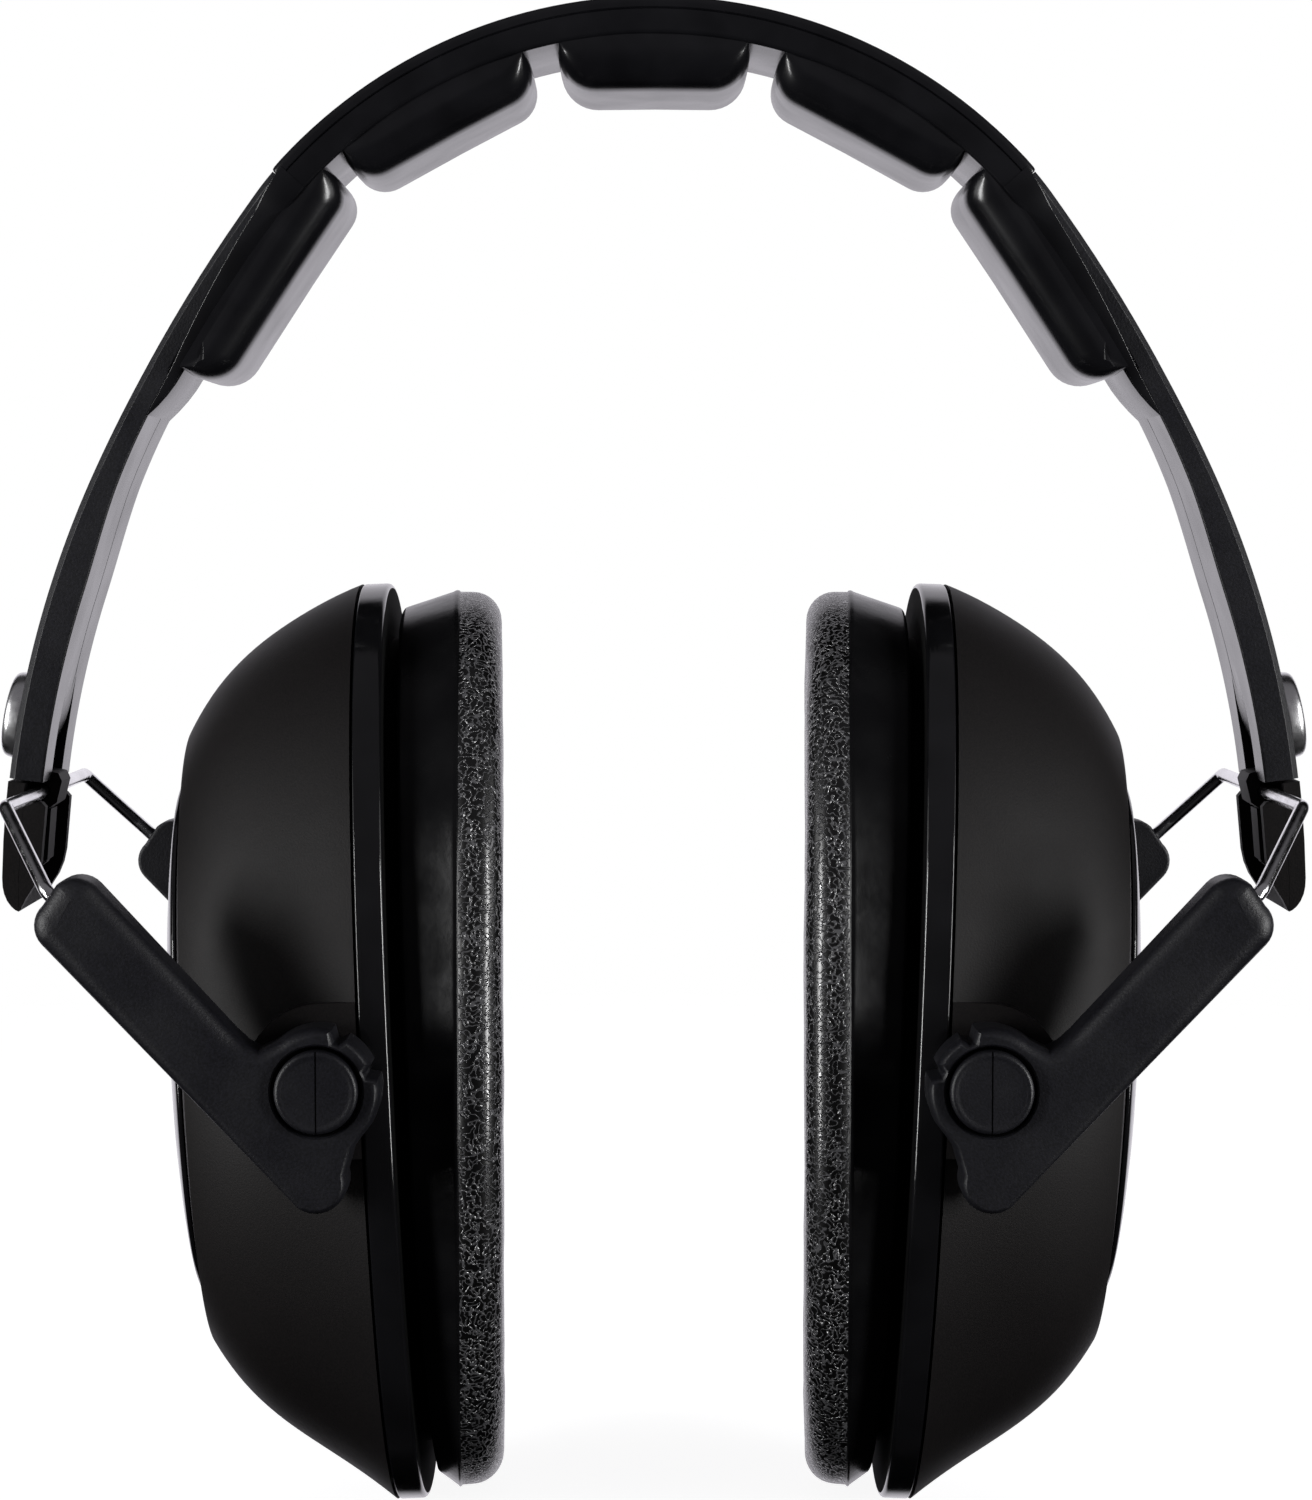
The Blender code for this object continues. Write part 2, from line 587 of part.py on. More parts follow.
def cup_foam(side, name, material, origin):
    """The sound-absorbing foam that fills the back of the cup."""
    rings = []
    for u, clear in ((5.95 * MM, 4.6 * MM), (7.0 * MM, 3.5 * MM), (12.0 * MM, 3.3 * MM),
                     (17.0 * MM, 3.6 * MM), (20.5 * MM, 4.6 * MM)):
        height, width, shift = dome_size(u)
        rings.append(oval(u, height - clear, width - clear, side, shift))
    return finish(loft(rings), name, origin, material)


def section_ring(section, side):
    """A ring round the cup's axis from a section of (inset, depth) points."""
    rings = []
    for inset, u in section:
        rings.append(oval(u, RIM_HALF_HEIGHT - inset, RIM_HALF_WIDTH - inset, side))
    return loft(rings, loop=True)


def cushion_plate(side, name, material, origin):
    """The rim: a glossy flange that closes the shell and carries the cushion."""
    section = [(0.3 * MM, 0.0), (0.0, 0.4 * MM), (0.0, RIM_THICKNESS), (3.8 * MM, RIM_THICKNESS),
               (3.9 * MM, 5.6 * MM), (5.0 * MM, 5.6 * MM), (5.2 * MM, 1.8 * MM),
               (19.4 * MM, 1.8 * MM), (19.5 * MM, 0.0), (10.0 * MM, 0.0),
               (9.9 * MM, -1.2 * MM), (6.6 * MM, -1.2 * MM), (6.5 * MM, 0.0)]
    return finish(section_ring(section, side), name, origin, material)


def seal_depth(v, w, lift=0.0):
    """Depth of the cushion's flat face, which stands upright with its front limb leaning a
    little further in, raised towards the rim."""
    plane = SEAL_X + SEAL_LEAN * w
    return (plane - CUP_X - v * math.sin(CUP_TILT)) / math.cos(CUP_TILT) + lift


def above_seal(lift):
    return lambda v, w: seal_depth(v, w, lift)


def cushion_cover(side, name, material, origin):
    """The cushion's skin: a channel ring, open towards the rim."""
    back = CUSHION_BACK
    section = [(2.4 * MM, back), (1.5 * MM, above_seal(4.0 * MM)), (2.1 * MM, above_seal(1.9 * MM)),
               (3.6 * MM, above_seal(0.6 * MM)), (6.0 * MM, seal_depth), (17.0 * MM, seal_depth),
               (19.2 * MM, above_seal(0.8 * MM)), (OPENING_INSET, above_seal(3.0 * MM)),
               (OPENING_INSET, back), (19.0 * MM, back), (19.0 * MM, above_seal(3.2 * MM)),
               (16.9 * MM, above_seal(1.0 * MM)), (6.2 * MM, above_seal(1.0 * MM)),
               (3.2 * MM, above_seal(2.4 * MM)), (2.6 * MM, above_seal(4.2 * MM)),
               (3.5 * MM, back)]
    return finish(section_ring(section, side), name, origin, material)


def cushion_foam(side, name, material, origin):
    """The soft foam ring inside the cushion's skin."""
    back = CUSHION_BACK
    section = [(3.9 * MM, back), (3.0 * MM, above_seal(4.4 * MM)), (3.8 * MM, above_seal(2.8 * MM)),
               (6.5 * MM, above_seal(1.4 * MM)), (16.6 * MM, above_seal(1.4 * MM)),
               (18.6 * MM, above_seal(3.5 * MM)), (18.6 * MM, back)]
    return finish(section_ring(section, side), name, origin, material)


# ---------------------------------------------------------------- assembly

def build():
    for obj in list(bpy.data.objects):
        bpy.data.objects.remove(obj)
    satin = make_material("satin_black_plastic", (0.012, 0.012, 0.014), 0.45)
    gloss = make_material("gloss_black_plastic", (0.006, 0.006, 0.007), 0.12)
    grained = make_material("grained_black_plastic", (0.014, 0.014, 0.016), 0.62)
    soft = make_material("soft_black_pad", (0.008, 0.008, 0.009), 0.3)
    leather = make_material("black_leatherette", (0.008, 0.008, 0.008), 0.35)
    foam = make_material("dark_foam", (0.03, 0.03, 0.032), 0.95)
    steel = make_material("bright_steel", (0.75, 0.75, 0.76), 0.12, 1.0)
    headband(grained)
    headband_cushion(soft)
    for side, word in ((1, "right_"), (-1, "left_")):
        pivot = arm_point(0.0, 0.0, 0.0, side)
        rivet(side, word + "size_rivet", steel)
        slider(side, word + "size_slider", satin)
        yoke_wire(side, word + "yoke_wire", steel)
        for sign, place in ((-1, "front_"), (1, "rear_")):
            arm(side, sign, word + place + "arm", grained)
            pivot_pin(side, sign, word + place + "pivot_pin", grained)
        cup_shell(side, word + "cup_shell", satin, pivot)
        face_plate(side, word + "face_plate", gloss, pivot)
        cup_foam(side, word + "cup_foam", foam, pivot)
        cushion_plate(side, word + "cushion_plate", gloss, pivot)
        cushion_foam(side, word + "cushion_foam", foam, pivot)
        cushion_cover(side, word + "cushion_cover", leather, pivot)


build()
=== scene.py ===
"""Looks of the folding ear defenders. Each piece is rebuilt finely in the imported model's frame,
gets a procedural material, and rides on the body of the part that it stands for.

Metres, +Z up, the front is -Y. Objects sit at the origin, so object coordinates are metres too.
"""

import json
import math

import bmesh
import bpy
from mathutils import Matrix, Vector, noise


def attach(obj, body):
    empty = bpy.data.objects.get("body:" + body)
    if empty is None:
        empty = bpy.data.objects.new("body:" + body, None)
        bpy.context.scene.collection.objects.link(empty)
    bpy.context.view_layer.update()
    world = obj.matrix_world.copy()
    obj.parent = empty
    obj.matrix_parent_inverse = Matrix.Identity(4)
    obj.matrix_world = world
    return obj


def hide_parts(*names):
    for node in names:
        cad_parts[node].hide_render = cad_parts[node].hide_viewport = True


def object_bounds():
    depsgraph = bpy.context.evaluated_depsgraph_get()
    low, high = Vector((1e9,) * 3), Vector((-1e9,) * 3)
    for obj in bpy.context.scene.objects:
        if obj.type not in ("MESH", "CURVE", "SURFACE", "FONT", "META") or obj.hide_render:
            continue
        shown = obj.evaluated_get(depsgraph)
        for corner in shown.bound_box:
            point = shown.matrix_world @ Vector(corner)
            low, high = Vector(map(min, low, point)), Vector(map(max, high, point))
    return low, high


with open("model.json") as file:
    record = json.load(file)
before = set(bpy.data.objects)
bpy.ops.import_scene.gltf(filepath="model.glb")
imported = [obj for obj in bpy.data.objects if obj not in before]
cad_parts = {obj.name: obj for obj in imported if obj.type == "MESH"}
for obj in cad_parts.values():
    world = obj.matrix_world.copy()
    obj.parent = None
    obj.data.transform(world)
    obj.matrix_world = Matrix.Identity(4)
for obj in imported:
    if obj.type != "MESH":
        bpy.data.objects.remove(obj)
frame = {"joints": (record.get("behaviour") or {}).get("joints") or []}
CAD_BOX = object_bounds()

MM = 0.001
FIT = 0.3 * MM
SIDES = ((1, "right"), (-1, "left"))

# Headband: arcs of its outer face by the angle of its normal, as the part has them.
CROWN_Z = 10.3 * MM
BAND_ARCS = ((53.0, 58.06 * MM), (65.3, 167.9 * MM), (91.0, 119.0 * MM))
BAND_END = 83.0
THICKNESS_TOP, THICKNESS_END = 2.85 * MM, 4.0 * MM
THIN_UNTIL, THICK_FROM = 62.0, 72.0
HALF_WIDTH_TOP, HALF_WIDTH_END = 13.4 * MM, 10.0 * MM
WIDE_UNTIL, NARROW_FROM = 48.0, 62.0
CHAMFER = 0.7 * MM

# Sleeve, liner and pads.
SLEEVE_END, LINER_END = 48.5, 60.1
SLEEVE_PROUD = 0.25 * MM
WEB_TOP, WEB_BOTTOM = 2.8 * MM, 4.06 * MM
PAD_HALF_WIDTH = 13.3 * MM
PADS = (("centre", 0.0, -11.6, 11.6, 47.76 * MM), ("upper", 28.2, 16.0, 41.2, 48.3 * MM),
        ("lower", 56.5, 44.2, 59.9, 48.9 * MM))
PAD_CORNER, PAD_EDGE, PAD_DOME, PAD_BULGE = 4.8 * MM, 4.8 * MM, 4.6 * MM, 0.7 * MM

# Sliding end piece and rivet.
SLIDE_ANGLE, RIVET_ANGLE = 76.25, 79.75
TONGUE_TOP, TONGUE_DEPTH = -14.2 * MM, (1.9 * MM, 3.0 * MM)
END_TIP, END_FLOOR, END_HEIGHT, END_WALL = 90.5, 1.9 * MM, 4.6 * MM, 1.7 * MM
TONGUE_HALF_WIDTH, TONGUE_FOOT, POCKET_PLAY = 6.5 * MM, 17.5 * MM, 0.2 * MM
RIVET_R, RIVET_PROUD = 5.25 * MM, 2.5 * MM
RIVET_SHANK_R, RIVET_SHANK_FOOT, SLOT_HALF_WIDTH = 1.7 * MM, -2.7 * MM, 2.15 * MM
SLIDE_TRAVEL = 16.0 * MM

# Yoke.
WIRE_R, WIRE_CORNER_Y, WIRE_BEND_R = 0.8 * MM, 29.3 * MM, 2.0 * MM
ARM_INNER_Y, ARM_OUTER_Y = 38.4 * MM, 45.0 * MM
ARM_DIRECTION = (0.68, -0.733)
ARM_AXIS, ARM_HALF_WIDTH = -6.7 * MM, 4.3 * MM
# Rounding of the arm's back and front edges, in mm: how far drawn in, how far from the face.
ARM_BACK = ((0.5, 0.0), (0.15, 0.15), (0.0, 0.5))
ARM_CROWN = ((0.0, 1.8), (0.08, 1.35), (0.28, 0.92), (0.6, 0.57), (1.05, 0.3), (1.6, 0.11),
             (2.3, 0.0))
PIN_HEAD_R, PIN_SHANK_R = 4.5 * MM, 3.0 * MM
PIN_FACE_Y, PIN_SEAT_Y, PIN_END_Y = 46.0 * MM, 42.8 * MM, 34.6 * MM

# Cup, in its own frame: u outwards from the rim's face, v up, w along Y.
CUP_X, CUP_Z, CUP_TILT = 28.72 * MM, -110.5 * MM, math.radians(2.38)
RIM_HALF_HEIGHT, RIM_HALF_WIDTH, RIM_THICKNESS = 54.1 * MM, 38.0 * MM, 3.2 * MM
OVAL_POWER, OVAL_SEGMENTS = 2.25, 128
SHELL_START, SHELL_EDGE, SHELL_CROWN = 3.5 * MM, 24.0 * MM, 2.5 * MM
SHELL_WALL = 2.2 * MM
LAND_Y, LAND_R = 37.7 * MM, 8.6 * MM
CUSHION_BACK, SEAL_X, SEAL_LEAN = -1.5 * MM, 18.0 * MM, 0.0402

JOINTS = {joint["name"]: joint for joint in frame["joints"]}
WIRE_X, WIRE_Z = JOINTS["right_fold"]["pos_m"][0], JOINTS["right_fold"]["pos_m"][2]
PIVOT_X, PIVOT_Z = JOINTS["right_pivot"]["pos_m"][0], JOINTS["right_pivot"]["pos_m"][2]

# Camera: the photograph's viewing angle.
CAMERA_DISTANCE, CAMERA_ELEVATION = 0.448, math.radians(3.2)
CAMERA_LENS, CAMERA_SENSOR = 90.73, 36.0
CAMERA_AIM = Vector((0.24 * MM, 0.0, -76.2 * MM))

# Lights: name, place on the right, height aimed at, width and height, power.
LIGHTS = (("strip", (0.82, -0.44, -0.05), -0.11, (0.12, 0.6), 7.0),
          ("softbox", (0.95, -0.06, 0.05), -0.1, (0.35, 0.5), 1.0))
# Surroundings by direction: the Y at which they turn bright behind the object, and the Y at
# which they turn dark past its front; strengths.
BEHIND_Y, BEHIND_LEVEL = (0.72, 0.84), 0.9
FRONT_Y, FRONT_LEVELS, FRONT_REMAINS = (0.1, 0.28), (0.02, 0.15), 0.01
FLOOR_RADIUS, FLOOR_FADE, FLOOR_GLOW = 0.9, (0.16, 0.5), 0.9


# ---------------------------------------------------------------- frames

def band_point(angle, inset, y, side):
    """A point of the band: angle of the outer face's normal, depth below it, and Y."""
    centre = Vector((0.0, CROWN_Z - BAND_ARCS[0][1]))
    for (end, radius), (_, next_radius) in zip(BAND_ARCS, BAND_ARCS[1:]):
        if angle <= end:
            break
        turn = math.radians(end)
        centre += (radius - next_radius) * Vector((math.sin(turn), math.cos(turn)))
        radius = next_radius
    turn = math.radians(angle)
    return Vector((side * (centre.x + (radius - inset) * math.sin(turn)), y,
                   centre.y + (radius - inset) * math.cos(turn)))


def signed_band_point(angle, inset, y):
    return band_point(abs(angle), inset, y, 1 if angle >= 0 else -1)


def slider_point(along, depth, y, side):
    """A point of the tongue: distance down the slide, depth below the band's face, and Y."""
    turn = math.radians(SLIDE_ANGLE)
    foot = band_point(SLIDE_ANGLE, 0.0, y, 1)
    x = foot.x + along * math.cos(turn) - depth * math.sin(turn)
    z = foot.z - along * math.sin(turn) - depth * math.cos(turn)
    return Vector((side * x, y, z))


def arm_point(x_inwards, z_up, y, side):
    return Vector((side * (PIVOT_X - x_inwards), y, PIVOT_Z + z_up))


def strip_point(along, across):
    """Arm coordinates: along its length from the pivot, and across it."""
    dx, dz = ARM_DIRECTION
    return along * dx - across * dz, along * dz + across * dx


def cup_point(u, v, w, side):
    x = CUP_X + u * math.cos(CUP_TILT) + v * math.sin(CUP_TILT)
    z = CUP_Z - u * math.sin(CUP_TILT) + v * math.cos(CUP_TILT)
    return Vector((side * x, w, z))


def eased(angle, start, end, before, after):
    """A size that turns smoothly from one value to another between two angles of the band."""
    t = min(max((abs(angle) - start) / (end - start), 0.0), 1.0)
    return before + (after - before) * t * t * (3.0 - 2.0 * t)


def half_width(angle):
    return eased(angle, WIDE_UNTIL, NARROW_FROM, HALF_WIDTH_TOP, HALF_WIDTH_END)


# ---------------------------------------------------------------- meshes

def rounded(corners, steps=5):
    """A closed outline through (a, b, radius) corners, each corner turned into an arc."""
    points = []
    for i, (a, b, radius) in enumerate(corners):
        corner = Vector((a, b))
        if radius <= 0:
            points.append((a, b))
            continue
        before = Vector(corners[i - 1][:2]) - corner
        after = Vector(corners[(i + 1) % len(corners)][:2]) - corner
        half = before.angle(after) / 2
        room = [0.49 if other[2] > 0 else 0.9
                for other in (corners[i - 1], corners[(i + 1) % len(corners)])]
        reach = min(radius / math.tan(half), room[0] * before.length, room[1] * after.length)
        middle = (before.normalized() + after.normalized()).normalized()
        centre = corner + middle * (reach / math.cos(half))
        first = corner + before.normalized() * reach - centre
        last = corner + after.normalized() * reach - centre
        start = math.atan2(first.y, first.x)
        turn = math.atan2(last.y, last.x) - start
        turn = (turn + math.pi) % math.tau - math.pi
        for k in range(steps + 1):
            angle = start + turn * k / steps
            points.append((centre.x + first.length * math.cos(angle),
                           centre.y + first.length * math.sin(angle)))
    return points


def arc(centre, radius, start, end, steps):
    """Points of an arc in a plane, angles in degrees."""
    angles = [math.radians(start + (end - start) * k / steps) for k in range(steps + 1)]
    return [(centre[0] + radius * math.cos(a), centre[1] + radius * math.sin(a)) for a in angles]


def finish(bm, name, smooth=32.0):
    bmesh.ops.recalc_face_normals(bm, faces=bm.faces)
    mesh = bpy.data.meshes.new(name)
    bm.to_mesh(mesh)
    bm.free()
    mesh.shade_smooth()
    mesh.set_sharp_from_angle(angle=math.radians(smooth))
    obj = bpy.data.objects.new(name, mesh)
    bpy.context.scene.collection.objects.link(obj)
    return obj


def loft(rings, loop=False):
    """A closed skin through rings of equal length: capped at both ends, or joined in a loop."""
    bm = bmesh.new()
    grid = [[bm.verts.new(p) for p in ring] for ring in rings]
    pairs = list(zip(grid, grid[1:] + grid[:1])) if loop else list(zip(grid, grid[1:]))
    for lower, upper in pairs:
        for i in range(len(lower)):
            j = (i + 1) % len(lower)
            bm.faces.new((lower[i], lower[j], upper[j], upper[i]))
    if not loop:
        bm.faces.new(grid[0])
        bm.faces.new(grid[-1])
    return bm


def prism(outline, low, high, place, side):
    """An outline of (a, b) points, extruded along Y from low to high."""
    return loft([[place(a, b, y, side) for a, b in outline] for y in (low, high)])


def turned(profile, centre, axis, segments):
    """A solid of revolution: (radius, height) points about an axis from a centre."""
    axis = Vector(axis).normalized()
    across = axis.orthogonal().normalized()
    other = axis.cross(across)
    rings = []
    for radius, height in profile:
        spokes = [across * math.cos(math.tau * k / segments) +
                  other * math.sin(math.tau * k / segments) for k in range(segments)]
        rings.append([Vector(centre) + axis * height + spoke * radius for spoke in spokes])
    return loft(rings)


def bake(obj):
    """Replaces an object's mesh by its evaluated one and drops its modifiers."""
    graph = bpy.context.evaluated_depsgraph_get()
    mesh = bpy.data.meshes.new_from_object(obj.evaluated_get(graph))
    obj.modifiers.clear()
    obj.data = mesh


def combine(obj, solids, operation):
    """Cuts solids from an object or joins them on."""
    for bm in solids:
        helper = finish(bm, "helper")
        modifier = obj.modifiers.new("combine", "BOOLEAN")
        modifier.operation = operation
        modifier.object = helper
        modifier.solver = "EXACT"
        bake(obj)
        bpy.data.objects.remove(helper)


def soften(obj, width, segments=2, limit=35.0):
    """Rounds an object's edges and shades it smoothly between them."""
    modifier = obj.modifiers.new("edges", "BEVEL")
    modifier.width = width
    modifier.segments = segments
    modifier.limit_method = "ANGLE"
    modifier.angle_limit = math.radians(limit)
    modifier.harden_normals = False
    bake(obj)
    obj.data.shade_smooth()
    obj.data.set_sharp_from_angle(angle=math.radians(50.0))


def even(obj, angle=40.0):
    """Shades a cut piece by its larger faces, so that no cut shows in its gloss."""
    obj.data.shade_smooth()
    obj.data.set_sharp_from_angle(angle=math.radians(angle))
    modifier = obj.modifiers.new("even", "WEIGHTED_NORMAL")
    modifier.weight = 100
    modifier.keep_sharp = True
    bake(obj)


def put(obj, body, slot, material, *nodes):
    """Gives a piece its material and body, and hides the CAD nodes that it stands for. The slot
    is not used.
    """
    for one in material if isinstance(material, tuple) else (material,):
        obj.data.materials.append(one)
    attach(obj, body)
    if nodes:
        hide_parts(*nodes)
    return obj


# ---------------------------------------------------------------- materials

class Shader:
    """A principled material with helpers for its procedural inputs."""

    def __init__(self, name, roughness, metallic=0.0):
        self.material = bpy.data.materials.new(name)
        self.material.use_nodes = True
        self.nodes = self.material.node_tree.nodes
        self.links = self.material.node_tree.links
        self.shader = self.nodes["Principled BSDF"]
        self.shader.inputs["Roughness"].default_value = roughness
        self.shader.inputs["Metallic"].default_value = metallic
        self.place = self.nodes.new("ShaderNodeTexCoord").outputs["Object"]
        self.normal = None

    def noise(self, size, detail=2.0, roughness=0.5):
        """Noise whose features are about `size` metres across."""
        node = self.nodes.new("ShaderNodeTexNoise")
        node.inputs["Scale"].default_value = 1.0 / size
        node.inputs["Detail"].default_value = detail
        node.inputs["Roughness"].default_value = roughness
        self.links.new(self.place, node.inputs["Vector"])
        return node.outputs["Fac"]

    def ridges(self, size):
        """Worm-like ridges: highest, at 0.5, along the middle level of a noise."""
        node = self.nodes.new("ShaderNodeMath")
        node.operation = "PINGPONG"
        node.inputs[1].default_value = 0.5
        self.links.new(self.noise(size, 0.0), node.inputs[0])
        return node.outputs[0]

    def cells(self, size, smoothness):
        """Rounded cells about `size` metres across, low along their edges."""
        node = self.nodes.new("ShaderNodeTexVoronoi")
        node.feature = "SMOOTH_F1"
        node.inputs["Scale"].default_value = 1.0 / size
        node.inputs["Smoothness"].default_value = smoothness
        self.links.new(self.place, node.inputs["Vector"])
        return node.outputs["Distance"]

    def remap(self, value, low, high, to_low, to_high):
        node = self.nodes.new("ShaderNodeMapRange")
        for name, number in (("From Min", low), ("From Max", high), ("To Min", to_low),
                             ("To Max", to_high)):
            node.inputs[name].default_value = number
        self.links.new(value, node.inputs["Value"])
        return node.outputs["Result"]

    def color(self, value, dark, light, low=0.35, high=0.65):
        node = self.nodes.new("ShaderNodeMix")
        node.data_type = "RGBA"
        node.inputs["A"].default_value = (*dark, 1.0)
        node.inputs["B"].default_value = (*light, 1.0)
        self.links.new(self.remap(value, low, high, 0.0, 1.0), node.inputs["Factor"])
        self.links.new(node.outputs["Result"], self.shader.inputs["Base Color"])

    def roughness(self, value, low, high):
        self.links.new(self.remap(value, 0.3, 0.7, low, high), self.shader.inputs["Roughness"])

    def bump(self, value, depth):
        """Adds relief of a depth in metres over what is there already."""
        node = self.nodes.new("ShaderNodeBump")
        node.inputs["Distance"].default_value = depth
        node.inputs["Strength"].default_value = 1.0
        self.links.new(value, node.inputs["Height"])
        if self.normal:
            self.links.new(self.normal, node.inputs["Normal"])
        self.normal = node.outputs["Normal"]
        self.links.new(self.normal, self.shader.inputs["Normal"])


def grained_plastic():
    s = Shader("grained_plastic", 0.5)
    s.shader.inputs["Specular IOR Level"].default_value = 0.42
    grain = s.noise(0.28 * MM, 2.0, 0.6)
    s.color(grain, (0.004, 0.004, 0.0055), (0.009, 0.009, 0.0125))
    s.roughness(s.noise(7 * MM, 3.0), 0.4, 0.52)
    s.bump(grain, 0.035 * MM)
    return s.material


def polished_plastic():
    """The band's inner face, which was moulded against a smoother tool."""
    s = Shader("polished_plastic", 0.22)
    grain = s.noise(0.5 * MM, 2.0, 0.6)
    s.color(grain, (0.008, 0.008, 0.009), (0.013, 0.013, 0.015))
    s.roughness(s.noise(9 * MM, 2.0), 0.2, 0.26)
    s.bump(grain, 0.004 * MM)
    return s.material


def satin_plastic():
    s = Shader("satin_plastic", 0.42)
    s.shader.inputs["Specular IOR Level"].default_value = 0.2
    grain = s.noise(0.22 * MM, 2.0, 0.6)
    s.color(grain, (0.0055, 0.0048, 0.005), (0.0095, 0.008, 0.008))
    s.roughness(s.noise(12 * MM, 3.0), 0.52, 0.6)
    s.bump(grain, 0.022 * MM)
    return s.material


def gloss_plastic():
    s = Shader("gloss_plastic", 0.1)
    s.color(s.noise(9 * MM), (0.004, 0.004, 0.0045), (0.007, 0.007, 0.008))
    s.roughness(s.noise(3 * MM, 4.0, 0.6), 0.07, 0.16)
    s.bump(s.noise(0.9 * MM, 2.0), 0.004 * MM)
    return s.material


def groove_shade_plastic():
    """Painted shade: the flange's surfaces down in the groove behind the cushion, made near-black
    and almost unreflecting so that the groove reads as deep shadow.
    """
    s = Shader("groove_shade_plastic", 0.9)
    s.shader.inputs["Specular IOR Level"].default_value = 0.1
    grain = s.noise(0.4 * MM)
    s.color(grain, (0.001, 0.001, 0.001), (0.003, 0.003, 0.003))
    s.bump(grain, 0.02 * MM)
    return s.material


def soft_pad():
    s = Shader("soft_pad", 0.25)
    s.color(s.noise(6 * MM), (0.004, 0.004, 0.005), (0.007, 0.007, 0.0085))
    s.roughness(s.noise(9 * MM, 2.0, 0.5), 0.21, 0.27)
    s.bump(s.noise(0.25 * MM, 2.0, 0.6), 0.003 * MM)
    return s.material


def smooth_leather():
    s = Shader("smooth_leatherette", 0.2)
    s.shader.inputs["Specular IOR Level"].default_value = 0.12
    s.color(s.noise(6 * MM), (0.004, 0.004, 0.0045), (0.007, 0.007, 0.0075))
    s.roughness(s.noise(5 * MM, 4.0, 0.6), 0.16, 0.28)
    s.bump(s.noise(1.6 * MM, 3.0), 0.02 * MM)
    return s.material


def grained_leather():
    """The sealing face's leatherette: smooth between fine, worm-like ridges, whose paler colour
    is a painted glint of light on the grain.
    """
    s = Shader("grained_leatherette", 0.2)
    s.shader.inputs["IOR"].default_value = 1.62
    worm_and_glint = s.remap(s.ridges(0.55 * MM), 0.385, 0.475, 0.0, 1.0)
    # Painted glint: the ridges are coloured paler to stand in for light sparkling on the grain;
    # the same mask also shapes their real bump and roughness.
    s.color(worm_and_glint, (0.001, 0.001, 0.001), (0.1, 0.1, 0.105), 0.1, 0.9)
    s.links.new(s.remap(worm_and_glint, 0.1, 0.9, 0.28, 0.16), s.shader.inputs["Roughness"])
    s.bump(worm_and_glint, 0.09 * MM)
    return s.material


def foam_material():
    s = Shader("open_cell_foam", 0.95)
    pores = s.cells(0.9 * MM, 0.2)
    s.color(pores, (0.006, 0.006, 0.007), (0.03, 0.03, 0.033), 0.1, 0.6)
    s.bump(pores, 0.35 * MM)
    return s.material


def steel_material(name, low, high):
    s = Shader(name, low, 1.0)
    s.color(s.noise(5 * MM), (0.72, 0.72, 0.73), (0.86, 0.86, 0.87))
    s.roughness(s.noise(1.5 * MM, 4.0, 0.65), low, high)
    s.bump(s.noise(0.3 * MM, 2.0), 0.002 * MM)
    return s.material


# ---------------------------------------------------------------- headband

def band_section(angle):
    """The band's section: chamfered outside, with a fine line along its inner face."""
    top, bottom, width = 0.0, THICKNESS_TOP, half_width(angle)
    if abs(angle) > LINER_END + 0.2:
        bottom = eased(angle, THIN_UNTIL, THICK_FROM, THICKNESS_TOP, THICKNESS_END)
    elif abs(angle) <= SLEEVE_END + 0.05:
        top, width = 0.65 * MM, width - 1.3 * MM
        bottom = WEB_TOP - 0.2 * MM
    else:
        bottom = WEB_TOP - 0.2 * MM
    chamfer = min(CHAMFER, (bottom - top) / 4)
    line, half, deep = 1.5 * MM, 0.16 * MM, 0.14 * MM
    return rounded((
        (bottom, -width, 0.3 * MM), (top + chamfer, -width, 0.15 * MM),
        (top, -width + chamfer, 0.15 * MM), (top, width - chamfer, 0.15 * MM),
        (top + chamfer, width, 0.15 * MM), (bottom, width, 0.3 * MM),
        (bottom, line + half, 0), (bottom - deep, line, 0), (bottom, line - half, 0)), 3)


